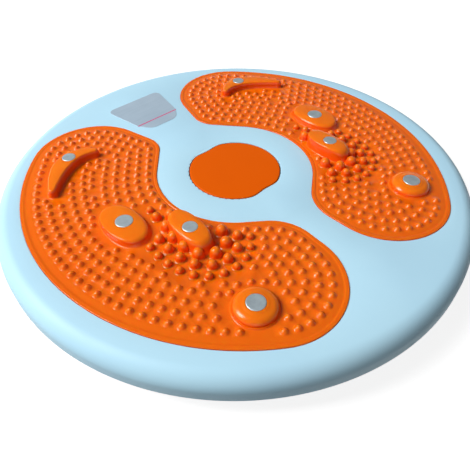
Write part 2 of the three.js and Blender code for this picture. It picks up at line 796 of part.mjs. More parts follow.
// One pressed race ring: a flange with a rolled trough. The trough's sides touch the
// groove circle from outside, so that a ball keeps its clearance. Up is 1 or -1.
function raceRing(up) {
  const flange = ball_level + up * race_half_gap;
  const back = flange + up * race_sheet;
  const trough_steps = 2;
  const trough = (radius, level) => {
    const open = Math.asin(Math.abs(level - ball_level) / radius);
    const step = (Math.PI - 2 * open) / trough_steps;
    const corner_radius = radius / Math.cos(step / 2);
    const corners = arc(0, 0, corner_radius, open + step / 2, Math.PI - open - step / 2, trough_steps - 1);
    const edge = radius * Math.cos(open);
    return [[edge, level], ...corners.map(([x, y]) => [x, ball_level + up * y]), [-edge, level]];
  };
  const at_pitch = ([x, z]) => [race_pitch_radius + x, z];
  const loop = [
    [flange_half, flange], ...trough(groove_radius, flange), [-flange_half, flange],
    [-flange_half, back], ...trough(groove_radius + race_sheet, back).reverse(), [flange_half, back],
  ].map(at_pitch);
  return revolve(up > 0 ? loop.reverse() : loop, race_steps);
}

function buildRace() {
  addPiece('lower_race', raceRing(-1), materials.steel);
  addPiece('upper_race', raceRing(1), materials.steel);
  const ring = new THREE.Shape().absarc(0, 0, race_pitch_radius + cage_half, 0, 2 * Math.PI, false);
  ring.holes.push(new THREE.Path().absarc(0, 0, race_pitch_radius - cage_half, 0, 2 * Math.PI, true));
  const cage = new THREE.ExtrudeGeometry(ring, {
    depth: cage_thickness, bevelEnabled: false, curveSegments: cage_steps / 2,
  }).translate(0, 0, ball_level - cage_thickness / 2);
  let cage_solid = toSolid(cage);
  const hole_radius = groove_radius / Math.cos(Math.PI / cage_hole_steps);
  for (let k = 0; k < ball_count; k += 1) {
    const [x, y] = polar(race_pitch_radius, (2 * Math.PI * k) / ball_count);
    const [bottom, top] = [ball_level - cage_thickness, ball_level + cage_thickness];
    cage_solid = cage_solid.subtract(roundBar(hole_radius, bottom, top, x, y, cage_hole_steps));
    const ball = new THREE.SphereGeometry(ball_radius, ball_steps.around, ball_steps.over).rotateX(Math.PI / 2);
    const name = `ball_${String(k + 1).padStart(2, '0')}`;
    addPiece(name, toSolid(ball), materials.steel).position.set(x, y, ball_level);
  }
  addPiece('ball_cage', cage_solid, materials.cage);
}

// Centre bolt from below, the bush it turns in, washers and lock nut
function buildCentre() {
  const bolt_end = cover_ledge - seat_gap;
  const head_bottom = base_bottom + seat_gap;
  addPiece('centre_bolt', revolve([
    [0, head_bottom], [bolt_head_radius, head_bottom],
    [bolt_head_radius, head_bottom + bolt_head_height],
    [bolt_radius, head_bottom + bolt_head_height], [bolt_radius, bolt_end], [0, bolt_end],
  ], small_steps), materials.steel);
  const ringPiece = (name, inner, outer, bottom, top, material) => {
    const ring = revolve([[inner, bottom], [outer, bottom], [outer, top], [inner, top]], small_steps);
    addPiece(name, ring, material);
  };
  const washer_bore = bolt_radius + seat_gap;
  const thrust_bottom = hub_top + seat_gap;
  ringPiece('thrust_washer', washer_bore, thrust_washer_radius, thrust_bottom,
    thrust_bottom + thrust_washer_thickness, materials.cage);
  const flange_bottom = well_top + seat_gap;
  const flange_top = flange_bottom + bush_flange_height;
  addPiece('hub_bush', revolve([
    [bush_bore, well_bottom], [bush_outer, well_bottom], [bush_outer, flange_bottom],
    [bush_outer + bush_flange_reach, flange_bottom], [bush_outer + bush_flange_reach, flange_top],
    [bush_bore, flange_top],
  ], small_steps), materials.cage);
  const washer_bottom = flange_top + seat_gap;
  ringPiece('nut_washer', washer_bore, washer_radius, washer_bottom,
    washer_bottom + washer_thickness, materials.steel);
  const nut_bottom = washer_bottom + washer_thickness;
  const nut = new THREE.CylinderGeometry(nut_flat_radius / Math.cos(Math.PI / 6),
    nut_flat_radius / Math.cos(Math.PI / 6), nut_height, 6);
  nut.rotateX(Math.PI / 2).translate(0, 0, nut_bottom + nut_height / 2);
  const nut_bore = roundBar(washer_bore, nut_bottom - overrun, nut_bottom + nut_height + overrun);
  addPiece('lock_nut', toSolid(nut).subtract(nut_bore), materials.steel);
}

buildBase();
buildFeet();
buildRace();
buildCentre();
buildBoard();
buildPads();
buildCover();

export default object;
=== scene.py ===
"""Looks of a waist twisting disc: a pale blue board with two nubbed orange foot pads on a ball race.

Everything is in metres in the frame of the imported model: +Z up, +Y towards the toes, the origin
on the floor under the spin axis.
"""

import logging
import math
from dataclasses import dataclass
from enum import Enum

import bmesh
import bpy
import numpy as np
from mathutils import Matrix, Vector
from mathutils.geometry import delaunay_2d_cdt


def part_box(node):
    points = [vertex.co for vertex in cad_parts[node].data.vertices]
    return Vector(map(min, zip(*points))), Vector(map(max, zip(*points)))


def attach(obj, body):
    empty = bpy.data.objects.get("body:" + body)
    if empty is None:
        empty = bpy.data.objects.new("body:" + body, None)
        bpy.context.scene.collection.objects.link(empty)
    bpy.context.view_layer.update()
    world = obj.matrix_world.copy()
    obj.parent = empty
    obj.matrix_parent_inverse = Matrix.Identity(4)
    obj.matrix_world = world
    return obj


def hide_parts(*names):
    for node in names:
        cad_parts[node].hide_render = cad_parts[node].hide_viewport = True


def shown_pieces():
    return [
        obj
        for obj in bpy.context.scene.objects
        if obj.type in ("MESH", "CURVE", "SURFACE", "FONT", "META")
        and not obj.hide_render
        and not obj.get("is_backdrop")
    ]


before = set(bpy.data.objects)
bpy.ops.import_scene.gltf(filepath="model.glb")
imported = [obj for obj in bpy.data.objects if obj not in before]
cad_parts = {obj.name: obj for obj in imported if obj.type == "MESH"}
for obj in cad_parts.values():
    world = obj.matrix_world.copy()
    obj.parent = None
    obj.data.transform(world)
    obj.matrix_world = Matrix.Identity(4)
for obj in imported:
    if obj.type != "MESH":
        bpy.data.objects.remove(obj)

log = logging.getLogger("twisting_disc")
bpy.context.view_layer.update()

MM = 0.001
FULL_TURN = 2 * math.pi
Pair = tuple[float, float]
Colour = tuple[float, float, float, float]
WELD = 0.002 * MM
NEAREST = 0.02 * MM
WIDEST_TURN = 0.12


class Body(Enum):
    """The bodies of the frame that a piece can ride on."""

    BASE = "base"
    TURNTABLE = "turntable"
    BALL_RING = "ball_ring"


class Side(Enum):
    """The foot that a pad is for; the value is the sign of its side of the X axis."""

    LEFT = -1
    RIGHT = 1


def box_of(node: str) -> tuple[np.ndarray, np.ndarray]:
    """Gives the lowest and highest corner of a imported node.

    Args:
        node: Name of the node.

    Returns:
        Two arrays of three numbers, in metres.
    """
    low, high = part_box(node)
    return np.array(low), np.array(high)


def srgb(red: float, green: float, blue: float) -> Colour:
    """Turns a colour read off a picture into the linear colour that a shader takes.

    Args:
        red: Red, 0 to 255.
        green: Green, 0 to 255.
        blue: Blue, 0 to 255.

    Returns:
        Linear red, green and blue, and full opacity.
    """
    share = np.array([red, green, blue]) / 255
    linear = np.where(share <= 0.04045, share / 12.92, ((share + 0.055) / 1.055) ** 2.4)
    return (*linear.tolist(), 1.0)


# Shader graphs


class Channel:
    """A shader value that Python expressions can be written with."""

    def __init__(self, graph: "Graph", socket: bpy.types.NodeSocket) -> None:
        """Wraps one output socket of a graph."""
        self.graph = graph
        self.socket = socket

    def __add__(self, other: "Channel | float") -> "Channel":
        """Adds two values."""
        return self.graph.math("ADD", self, other)

    def __sub__(self, other: "Channel | float") -> "Channel":
        """Takes a value away from this one."""
        return self.graph.math("SUBTRACT", self, other)

    def __mul__(self, other: "Channel | float") -> "Channel":
        """Multiplies two values."""
        return self.graph.math("MULTIPLY", self, other)

    def __rsub__(self, other: float) -> "Channel":
        """Takes this value away from a number."""
        return self.graph.math("SUBTRACT", other, self)

    __radd__ = __add__
    __rmul__ = __mul__

    def between(self, low: float, high: float) -> "Channel":
        """Eases from 0 to 1 as the value goes from low to high."""
        inputs = {"Value": self, "From Min": low, "From Max": high}
        return self.graph.node("ShaderNodeMapRange", {"interpolation_type": "SMOOTHSTEP"}, inputs)


class Graph:
    """The node tree of one material or world, with its shader."""

    def __init__(self, name: str, world: bool = False) -> None:
        """Makes a material with a Principled shader, or a world with a background.

        Args:
            name: Name of the material or world.
            world: Whether it is a world.
        """
        self.owner = (bpy.data.worlds if world else bpy.data.materials).new(name)
        self.owner.use_nodes = True
        self.tree = self.owner.node_tree
        self.shader = self.tree.nodes["Background" if world else "Principled BSDF"]

    def node(self, kind: str, settings: dict, inputs: dict, output: str | int = 0) -> Channel:
        """Adds a node.

        Args:
            kind: Blender's name of the node's type.
            settings: Properties of the node, set before its sockets.
            inputs: Socket name or number to a value or a channel.
            output: Name or number of the output that is wanted.

        Returns:
            The wanted output as a channel.
        """
        made = self.tree.nodes.new(kind)
        for name, value in settings.items():
            setattr(made, name, value)
        for name, value in inputs.items():
            self.feed(made.inputs[name], value)
        return Channel(self, made.outputs[output])

    def feed(self, socket: bpy.types.NodeSocket, value: "Channel | float | tuple") -> None:
        """Links a channel to a socket, or sets the socket's own value.

        Args:
            socket: The input that is fed.
            value: What it gets.
        """
        if isinstance(value, Channel):
            self.tree.links.new(value.socket, socket)
        else:
            socket.default_value = value

    def math(self, operation: str, first: "Channel | float", second: "Channel | float") -> Channel:
        """Adds a Math node with two inputs."""
        return self.node("ShaderNodeMath", {"operation": operation}, {0: first, 1: second})

    def blend(self, share: "Channel | float", first: "Channel | tuple",
              second: "Channel | tuple") -> Channel:
        """Mixes two colours: share 0 gives the first and 1 the second."""
        settings = {"data_type": "RGBA"}
        return self.node("ShaderNodeMix", settings, {0: share, 6: first, 7: second}, 2)

    def mapped(self, value: Channel, source: tuple, target: tuple) -> Channel:
        """Maps a value in a straight line from one range to another, and holds it there.

        Args:
            value: What is mapped.
            source: Two ends of the range that it comes from.
            target: What these become, as numbers or channels.

        Returns:
            The mapped value.
        """
        ends = dict(zip(("From Min", "From Max", "To Min", "To Max"), (*source, *target)))
        return self.node("ShaderNodeMapRange", {}, {"Value": value, **ends})

    def place(self) -> Channel:
        """Gives the place on the piece, in metres."""
        return self.node("ShaderNodeTexCoord", {}, {}, "Object")

    def axis(self, vector: Channel, name: str) -> Channel:
        """Gives one coordinate of a vector: X, Y or Z."""
        return self.node("ShaderNodeSeparateXYZ", {}, {"Vector": vector}, name)

    def noise(self, place: Channel, scale: float, detail: float,
              stretch: tuple | None = None) -> Channel:
        """Gives fractal noise around one half.

        Args:
            place: Where the noise is read.
            scale: Cells a metre.
            detail: Octaves of finer noise.
            stretch: Factors on the three axes, for streaks.

        Returns:
            The noise as a channel.
        """
        if stretch:
            place = self.node("ShaderNodeMapping", {}, {"Vector": place, "Scale": stretch})
        inputs = {"Vector": place, "Scale": scale, "Detail": detail}
        return self.node("ShaderNodeTexNoise", {}, inputs)

    def bump(self, height: Channel, depth: float) -> Channel:
        """Turns a height into a normal; depth is the height's real size in metres."""
        return self.node("ShaderNodeBump", {}, {"Height": height, "Distance": depth})

    def finish(self, **sockets: "Channel | float | tuple") -> bpy.types.Material | bpy.types.World:
        """Feeds the shader's sockets.

        Args:
            sockets: A value or a channel for each socket, named with underscores.

        Returns:
            The material or world.
        """
        for name, value in sockets.items():
            self.feed(self.shader.inputs[name.replace("_", " ")], value)
        return self.owner


# Finishes


@dataclass(frozen=True)
class MouldedPlastic:
    """Injection-moulded plastic: slow drift of tint, fine spark-eroded grain and soft scuffs."""

    name: str
    colour: Colour
    shade: Colour
    roughness: float
    specular: float = 0.5
    drift_scale: float = 14.0
    scuff_scale: float = 160.0
    scuff_stretch: tuple[float, float, float] = (1.0, 0.25, 1.0)
    grain_scale: float = 1500.0
    grain_depth: float = 0.012 * MM

    def build(self) -> bpy.types.Material:
        """Builds the material: tint by slow noise, roughness by scuffs, bump by fine grain.

        Returns:
            The material.
        """
        graph = Graph(self.name)
        place = graph.place()
        drift = graph.noise(place, self.drift_scale, 3.0).between(0.3, 0.75)
        scuff = graph.noise(place, self.scuff_scale, 4.0, self.scuff_stretch).between(0.5, 0.8)
        grain = graph.noise(place, self.grain_scale, 2.0)
        return graph.finish(
            Base_Color=graph.blend(drift * 0.7 + scuff * 0.12, self.colour, self.shade),
            Roughness=self.roughness + drift * 0.04 + scuff * 0.07,
            Normal=graph.bump(grain, self.grain_depth),
            Specular_IOR_Level=self.specular,
        )


@dataclass(frozen=True)
class SoftVinyl:
    """Soft vinyl of the foot pads, with painted shade: a deeper tint in the low places and a redder tint on
    slanted faces.
    """

    name: str
    # colour is the lighter colour of the tops, a painted light; the field itself takes mostly the deep tint.
    colour: Colour
    # deep: painted shade for the low places of the field.
    deep: Colour
    # flank: painted redder shade on slanted faces.
    flank: Colour
    field_level: float
    roughness: float = 0.18
    specular: float = 0.34
    # Heights about the field over which the painted shade of the low places gives way to the lighter tops.
    painted_shade_below: float = 0.2 * MM
    painted_shade_above: float = 2.2 * MM
    drift_scale: float = 22.0
    dust_scale: float = 420.0
    skin_scale: float = 2200.0
    skin_depth: float = 0.008 * MM
    glow: float = 0.5
    glow_colours: tuple[float, float, float] = (1.0, 0.3, 0.06)
    glow_depth: float = 1.8 * MM

    def build(self) -> bpy.types.Material:
        """Builds the material: painted shade by height over the field and on slanted faces, tone
        by slow noise, bump by a fine skin, and light that passes a little way through.

        Returns:
            The material.
        """
        graph = Graph(self.name)
        place = graph.place()
        height = graph.axis(place, "Z")
        # Painted shade and light by height: the low field takes the deep tint and the tops the lighter
        # colour, mixed with a little slow noise.
        lift = height.between(self.field_level - self.painted_shade_below, self.field_level + self.painted_shade_above)
        drift = graph.noise(place, self.drift_scale, 3.0).between(0.3, 0.75)
        skin = graph.noise(place, self.skin_scale, 2.0)
        dust = graph.noise(place, self.dust_scale, 5.0).between(0.58, 0.82)
        shade_and_drift_share = (1 - lift) * 0.75 + drift * 0.2
        # Painted shade: faces that slant get the redder flank tint in place of the lit colour.
        facing = graph.node("ShaderNodeNewGeometry", {}, {}, "Normal")
        slant_shade_share = 1 - graph.axis(facing, "Z").between(0.25, 0.85)
        height_shaded_tint = graph.blend(shade_and_drift_share, self.colour, self.deep)
        return graph.finish(
            Base_Color=graph.blend(slant_shade_share * 0.85, height_shaded_tint, self.flank),
            Roughness=self.roughness + dust * 0.08 + drift * 0.03,
            Normal=graph.bump(skin, self.skin_depth),
            Specular_IOR_Level=self.specular,
            Subsurface_Weight=self.glow,
            Subsurface_Radius=self.glow_colours,
            Subsurface_Scale=self.glow_depth,
        )


@dataclass(frozen=True)
class SatinMetal:
    """Plated metal with a fine turned or tumbled surface."""

    name: str
    colour: Colour
    dull: Colour
    roughness: float
    metallic: float = 1.0
    tarnish_scale: float = 260.0
    scratch_scale: float = 900.0
    scratch_stretch: tuple[float, float, float] = (1.0, 0.12, 1.0)
    scratch_depth: float = 0.006 * MM

    def build(self) -> bpy.types.Material:
        """Builds the material: tarnish by slow noise, fine scratches in roughness and bump.

        Returns:
            The material.
        """
        graph = Graph(self.name)
        place = graph.place()
        tarnish = graph.noise(place, self.tarnish_scale, 4.0).between(0.35, 0.75)
        scratch = graph.noise(place, self.scratch_scale, 3.0, self.scratch_stretch)
        return graph.finish(
            Base_Color=graph.blend(tarnish * 0.6, self.colour, self.dull),
            Metallic=self.metallic,
            Roughness=self.roughness + scratch * 0.16 + tarnish * 0.06,
            Normal=graph.bump(scratch, self.scratch_depth),
        )


@dataclass(frozen=True)
class Rubber:
    """Moulded black rubber with a dusty bloom."""

    name: str
    colour: Colour
    dusty: Colour
    bloom_scale: float = 90.0
    grain_scale: float = 1300.0
    grain_depth: float = 0.04 * MM

    def build(self) -> bpy.types.Material:
        """Builds the material: bloom by noise in colour and roughness, bump by coarse grain.

        Returns:
            The material.
        """
        graph = Graph(self.name)
        place = graph.place()
        bloom = graph.noise(place, self.bloom_scale, 4.0).between(0.4, 0.8)
        grain = graph.noise(place, self.grain_scale, 3.0)
        return graph.finish(
            Base_Color=graph.blend(bloom * 0.5, self.colour, self.dusty),
            Roughness=0.72 + bloom * 0.14,
            Normal=graph.bump(grain, self.grain_depth),
        )


@dataclass(frozen=True)
class StickerFoil:
    """Silver foil sticker: brushed along its length, with one plain coloured stripe across."""

    name: str
    colour: Colour
    dull: Colour
    stripe: Colour
    stripe_y: float = 80.0 * MM
    stripe_half: float = 0.5 * MM
    streak_scale: float = 700.0
    streak_stretch: tuple[float, float, float] = (0.08, 1.0, 1.0)
    streak_depth: float = 0.004 * MM
    cloud_scale: float = 45.0

    def build(self) -> bpy.types.Material:
        """Builds the material: foil tint by streaks, the stripe by distance from its line in Y.

        Returns:
            The material.
        """
        graph = Graph(self.name)
        place = graph.place()
        distance = graph.math("ABSOLUTE", graph.axis(place, "Y") - self.stripe_y, 0.0)
        stripe = 1 - distance.between(self.stripe_half * 0.8, self.stripe_half * 1.1)
        streak = graph.noise(place, self.streak_scale, 3.0, self.streak_stretch)
        cloud = graph.noise(place, self.cloud_scale, 2.0).between(0.3, 0.7)
        foil = graph.blend(streak * 0.5 + cloud * 0.3, self.colour, self.dull)
        return graph.finish(
            Base_Color=graph.blend(stripe, foil, self.stripe),
            Metallic=0.2 - stripe * 0.2,
            Roughness=0.34 + streak * 0.12,
            Normal=graph.bump(streak, self.streak_depth),
        )


@dataclass(frozen=True)
class FinishSet:
    """Every finish of the disc, built once and shared by its pieces."""

    board: bpy.types.Material
    pad: bpy.types.Material
    cover: bpy.types.Material
    magnet: bpy.types.Material
    steel: bpy.types.Material
    base: bpy.types.Material
    nylon: bpy.types.Material
    rubber: bpy.types.Material
    sticker: bpy.types.Material


# Meshes


class Skin:
    """Collects grids of points, with their faces, into one closed mesh."""

    def __init__(self) -> None:
        """Starts an empty skin."""
        self.points: list[np.ndarray] = []
        self.faces: list[list[int]] = []
        self.count = 0

    def add_points(self, points: np.ndarray) -> int:
        """Adds points.

        Args:
            points: Array of any shape with three coordinates last.

        Returns:
            The number of the first of them.
        """
        first = self.count
        self.points.append(points.reshape(-1, 3))
        self.count += len(self.points[-1])
        return first

    def grids(self, points: np.ndarray) -> None:
        """Adds one or more grids: each row of points is joined to the next by four-sided faces,
        and its last point to its first.

        Args:
            points: Array of grids, rows, columns and three coordinates, or one grid without the
                first index.
        """
        stack = points if points.ndim == 4 else points[None]
        number, rows, columns, _ = stack.shape
        first = self.add_points(stack)
        grid, row, column = np.meshgrid(
            np.arange(number), np.arange(rows - 1), np.arange(columns), indexing="ij")
        start = first + (grid * rows + row) * columns
        beside = (column + 1) % columns
        quads = np.stack(
            [start + column, start + beside, start + columns + beside, start + columns + column], -1)
        self.faces.extend(quads.reshape(-1, 4).tolist())

    def caps(self, rings: np.ndarray, centres: np.ndarray) -> None:
        """Closes rings of points with a fan to a centre each.

        Args:
            rings: Array of rings, points and three coordinates.
            centres: Array of rings and three coordinates.
        """
        number, columns, _ = rings.shape
        first = self.add_points(rings)
        middle = self.add_points(centres)
        ring, column = np.meshgrid(np.arange(number), np.arange(columns), indexing="ij")
        start = first + ring * columns
        triangles = np.stack([start + column, start + (column + 1) % columns, middle + ring], -1)
        self.faces.extend(triangles.reshape(-1, 3).tolist())

    def plane(self, outer: np.ndarray, holes: list[np.ndarray], height: float) -> None:
        """Adds a flat face at a height, inside an outer loop and outside the holes.

        The loops are joined by a constrained Delaunay triangulation, and the triangles whose
        middle lies in a hole are left out.

        Args:
            outer: Loop of points, two coordinates each.
            holes: Loops in the same form.
            height: Height of the face.
        """
        loops = [outer, *holes]
        corners = [Vector(corner) for corner in np.concatenate(loops).tolist()]
        starts = np.cumsum([0, *(len(loop) for loop in loops)])
        edges = [
            (int(start + k), int(start + (k + 1) % len(loop)))
            for start, loop in zip(starts, loops) for k in range(len(loop))
        ]
        found = delaunay_2d_cdt(corners, edges, [], 1, 1e-9)
        flat = np.array([tuple(corner) for corner in found[0]])
        triangles = np.array([tuple(face) for face in found[2]])
        middles = flat[triangles].mean(axis=1)
        kept = inside_loop(middles, outer)
        for hole in holes:
            kept &= ~inside_loop(middles, hole)
        first = self.add_points(lifted(flat, height))
        self.faces.extend((triangles[kept] + first).tolist())

    def socket(self, loop: np.ndarray, centre: Pair, mouth: float, floor: float) -> None:
        """Adds a blind hole: a wall from its mouth to its floor, closed by a fan.

        Args:
            loop: Its outline, two coordinates a point.
            centre: Its middle.
            mouth: Height of its mouth.
            floor: Height of its floor.
        """
        wall = np.stack([lifted(loop, level) for level in (mouth, floor)])
        self.grids(wall)
        self.caps(wall[-1:], np.array([[*centre, floor]]))

    def build(self, name: str, material: bpy.types.Material,
              smooth_angle: float = 38.0) -> bpy.types.Object:
        """Welds what was added into one mesh, turns its faces outwards and dresses it.

        Args:
            name: Name of the piece.
            material: Its finish.
            smooth_angle: Edges sharper than this many degrees stay sharp.

        Returns:
            The new object, linked to the scene.
        """
        mesh = bpy.data.meshes.new(name)
        mesh.from_pydata(np.concatenate(self.points).tolist(), [], self.faces)
        work = bmesh.new()
        work.from_mesh(mesh)
        bmesh.ops.remove_doubles(work, verts=work.verts, dist=WELD)
        loose = [corner for corner in work.verts if not corner.link_faces]
        bmesh.ops.delete(work, geom=loose, context="VERTS")
        bmesh.ops.recalc_face_normals(work, faces=work.faces)
        work.to_mesh(mesh)
        work.free()
        mesh.polygons.foreach_set("use_smooth", np.ones(len(mesh.polygons), dtype=bool))
        mesh.set_sharp_from_angle(angle=math.radians(smooth_angle))
        mesh.materials.append(material)
        piece = bpy.data.objects.new(name, mesh)
        bpy.context.scene.collection.objects.link(piece)
        return piece


def inside_loop(points: np.ndarray, loop: np.ndarray) -> np.ndarray:
    """Says which points lie inside a loop, by counting the edges that a ray to +X crosses.

    Args:
        points: Array of points with two coordinates.
        loop: Closed loop of points with two coordinates.

    Returns:
        One truth value a point.
    """
    low, high = loop.min(axis=0), loop.max(axis=0)
    near = np.all((points > low) & (points < high), axis=1)
    x, y = points[near, 0, None], points[near, 1, None]
    start, end = loop, np.roll(loop, -1, axis=0)
    spans = (start[:, 1] > y) != (end[:, 1] > y)
    rise = np.where(end[:, 1] == start[:, 1], 1.0, end[:, 1] - start[:, 1])
    cross = x < start[:, 0] + (end[:, 0] - start[:, 0]) * (y - start[:, 1]) / rise
    result = np.zeros(len(points), dtype=bool)
    result[near] = (spans & cross).sum(axis=1) % 2 == 1
    return result


def distance_to(points: np.ndarray, loop: np.ndarray) -> np.ndarray:
    """Gives each point's distance to the nearest stretch of a closed loop.

    Args:
        points: Array of points with two coordinates.
        loop: Closed loop of points with two coordinates.

    Returns:
        One distance a point.
    """
    along = (np.roll(loop, -1, axis=0) - loop)[None]
    offset = points[:, None] - loop[None]
    share = (offset * along).sum(-1) / np.maximum((along * along).sum(-1), 1e-18)
    share = np.clip(share, 0, 1)[..., None]
    return np.linalg.norm(offset - along * share, axis=-1).min(axis=1)


def unit_circle(steps: int) -> np.ndarray:
    """Gives points evenly round a circle of radius one."""
    angle = np.arange(steps) * FULL_TURN / steps
    return np.column_stack([np.cos(angle), np.sin(angle)])


def circle(radius: float, steps: int, centre: Pair = (0.0, 0.0)) -> np.ndarray:
    """Gives points evenly round a circle in the plane."""
    return np.array(centre) + radius * unit_circle(steps)


def lifted(loop: np.ndarray, height: float) -> np.ndarray:
    """Gives a flat loop as points at a height."""
    return np.column_stack([loop, np.full(len(loop), height)])


def turned(profile: list[Pair], steps: int) -> np.ndarray:
    """Turns a profile of radius and height about the Z axis into a grid of points.

    Args:
        profile: Radius and height pairs.
        steps: Points round the axis.

    Returns:
        Grid with a row for each point of the profile.
    """
    radius, height = np.array(profile).T
    flat = radius[:, None, None] * unit_circle(steps)
    level = np.broadcast_to(height[:, None, None], (*flat.shape[:2], 1))
    return np.concatenate([flat, level], axis=-1)


def round_corner(centre: Pair, radius: float, start: float, end: float, steps: int) -> list[Pair]:
    """Gives an arc of a profile about a centre, ends included.

    Args:
        centre: Radius and height of the arc's centre.
        radius: Its radius.
        start: First angle, in degrees.
        end: Last angle, in degrees.
        steps: Parts of the arc.

    Returns:
        Pairs of radius and height.
    """
    angles = np.radians(np.linspace(start, end, steps + 1))
    x = centre[0] + radius * np.cos(angles)
    y = centre[1] + radius * np.sin(angles)
    return list(zip(x.tolist(), y.tolist()))


def lathe(name: str, profile: list[Pair], steps: int, material: bpy.types.Material,
          place: Pair = (0.0, 0.0)) -> bpy.types.Object:
    """Makes a closed turned piece.

    Args:
        name: Name of the piece.
        profile: Closed loop of radius and height, or one that starts and ends on the axis.
        steps: Points round the axis.
        material: Its finish.
        place: Where its axis stands.

    Returns:
        The new object.
    """
    on_axis = profile[0][0] == 0
    points = turned(profile if on_axis else [*profile, profile[0]], steps)
    points[..., :2] += np.array(place)
    skin = Skin()
    if on_axis:
        skin.grids(points[1:-1])
        skin.caps(points[[1, -2]], points[[0, -1], 0])
    else:
        skin.grids(points)
    return skin.build(name, material)


# Outlines


@dataclass(frozen=True)
class Disc:
    """A circle that a belt runs round. A negative radius is passed on the inside."""

    x: float
    y: float
    radius: float


@dataclass(frozen=True)
class Outline:
    """A closed outline with the outward normal of each of its points."""

    points: np.ndarray
    normals: np.ndarray

    def inset(self, distance: float | np.ndarray) -> np.ndarray:
        """Gives the outline drawn in, or let out where the distance is negative.

        Args:
            distance: One distance, or one for each point.

        Returns:
            Loop of points with two coordinates.
        """
        return self.points - self.normals * np.reshape(distance, (-1, 1))

    def ring(self, distance: float | np.ndarray, height: float) -> np.ndarray:
        """Gives the outline drawn in by a distance, as points at a height."""
        return lifted(self.inset(distance), height)

    def mirrored(self) -> "Outline":
        """Gives the outline on the other side of the plane between the feet."""
        flip = np.array([-1.0, 1.0])
        return Outline(self.points[::-1] * flip, self.normals[::-1] * flip)

    def spread(self, distance: float, pitch: float) -> np.ndarray:
        """Gives places spread evenly along the outline drawn in by a distance.

        Args:
            distance: How far the outline is drawn in.
            pitch: Wanted spacing, rounded so that it closes.

        Returns:
            Array of places with two coordinates.
        """
        ring = self.inset(distance)
        closed = np.vstack([ring, ring[:1]])
        lengths = np.linalg.norm(np.diff(closed, axis=0), axis=1)
        passed = np.concatenate([[0], np.cumsum(lengths)])
        count = max(1, round(passed[-1] / pitch))
        wanted = np.arange(count) * passed[-1] / count
        return np.column_stack([np.interp(wanted, passed, closed[:, k]) for k in (0, 1)])


def belt(discs: list[Disc], step: float) -> Outline:
    """Runs a belt round circles in order: tangent lines between them and arcs on them.

    Args:
        discs: The circles, anticlockwise round the outline.
        step: Longest stretch between two points of an arc.

    Returns:
        The belt's outline.
    """
    leaving = []
    for disc, following in zip(discs, discs[1:] + discs[:1]):
        dx, dy = following.x - disc.x, following.y - disc.y
        lean = (disc.radius - following.radius) / math.hypot(dx, dy)
        leaving.append(math.atan2(dy, dx) - math.acos(min(1.0, max(-1.0, lean))))
    angles, owners = [], []
    for number, disc in enumerate(discs):
        start = leaving[number - 1]
        turn = (leaving[number] - start) % FULL_TURN
        turn = turn if disc.radius > 0 else turn - FULL_TURN
        sweep = abs(turn)
        steps = max(2, math.ceil(sweep * abs(disc.radius) / step), math.ceil(sweep / WIDEST_TURN))
        angles.append(np.linspace(start, start + turn, steps + 1))
        owners.append(np.full(steps + 1, number))
    angle, owner = np.concatenate(angles), np.concatenate(owners)
    normals = np.column_stack([np.cos(angle), np.sin(angle)])
    centres = np.array([(disc.x, disc.y) for disc in discs])[owner]
    radii = np.array([disc.radius for disc in discs])[owner, None]
    points = centres + normals * radii
    apart = np.linalg.norm(points - np.roll(points, 1, axis=0), axis=1) > NEAREST
    return fill_straights(Outline(points[apart], normals[apart]), step)


def fill_straights(outline: Outline, step: float) -> Outline:
    """Adds points along the straight stretches of an outline.

    Args:
        outline: The outline.
        step: Wanted stretch between two points; up to half as much again is left as it is.

    Returns:
        The outline with the new points.
    """
    points, normals = outline.points, outline.normals
    after = np.roll(points, -1, axis=0)
    after_normals = np.roll(normals, -1, axis=0)
    lengths = np.linalg.norm(after - points, axis=1)
    pieces = np.maximum(1, np.ceil(lengths / (step * 1.5))).astype(int)
    owner = np.repeat(np.arange(len(points)), pieces)
    first = np.concatenate([[0], np.cumsum(pieces)[:-1]])
    share = ((np.arange(len(owner)) - first[owner]) / pieces[owner])[:, None]
    filled = points[owner] * (1 - share) + after[owner] * share
    leaned = normals[owner] * (1 - share) + after_normals[owner] * share
    return Outline(filled, leaned / np.linalg.norm(leaned, axis=1, keepdims=True))


@dataclass(frozen=True)
class PadPlan:
    """The left foot pad's outline, as circles in shares of the board's radius."""

    board_radius: float
    outer_share: tuple[float, float, float] = (0.05, 0.0143, 0.9336)
    heel_lobe_share: Pair = (4.117, 0.2607)
    heel_corner_share: tuple[float, float, float] = (-0.2486, -0.47, 0.1857)
    waist_share: tuple[float, float, float] = (0.0, 0.0, -0.3386)
    toe_corner_share: tuple[float, float, float] = (-0.252, 0.412, 0.12)
    toe_lobe_share: Pair = (2.333, 0.2571)
    step: float = 1.5 * MM

    def at(self, share: tuple[float, float, float], inset: float) -> Disc:
        """Scales a circle given by place and radius, and draws it in."""
        x, y, radius = (value * self.board_radius for value in share)
        return Disc(x, y, radius - inset)

    def hung(self, share: Pair, inset: float) -> Disc:
        """Places a lobe that touches the outer edge from inside.

        Args:
            share: Its bearing from the outer circle's centre, and its radius as a share.
            inset: How far it is drawn in.

        Returns:
            The lobe's circle.
        """
        bearing, radius = share
        reach = (self.outer_share[2] - radius) * self.board_radius
        x = self.outer_share[0] * self.board_radius + reach * math.cos(bearing)
        y = self.outer_share[1] * self.board_radius + reach * math.sin(bearing)
        return Disc(x, y, radius * self.board_radius - inset)

    def outline(self, outer: float = 0.0, lobe: float = 0.0, corner: float = 0.0,
                waist: float = 0.0) -> Outline:
        """Gives the pad's outline, with each kind of circle drawn in by its own distance.

        Args:
            outer: Inset of the outer edge.
            lobe: Inset of the two lobes.
            corner: Inset of the two corners.
            waist: Inset of the hollow beside the cover.

        Returns:
            The outline.
        """
        return belt([
            self.at(self.outer_share, outer), self.hung(self.heel_lobe_share, lobe),
            self.at(self.heel_corner_share, corner), self.at(self.waist_share, waist),
            self.at(self.toe_corner_share, corner), self.hung(self.toe_lobe_share, lobe),
        ], self.step)


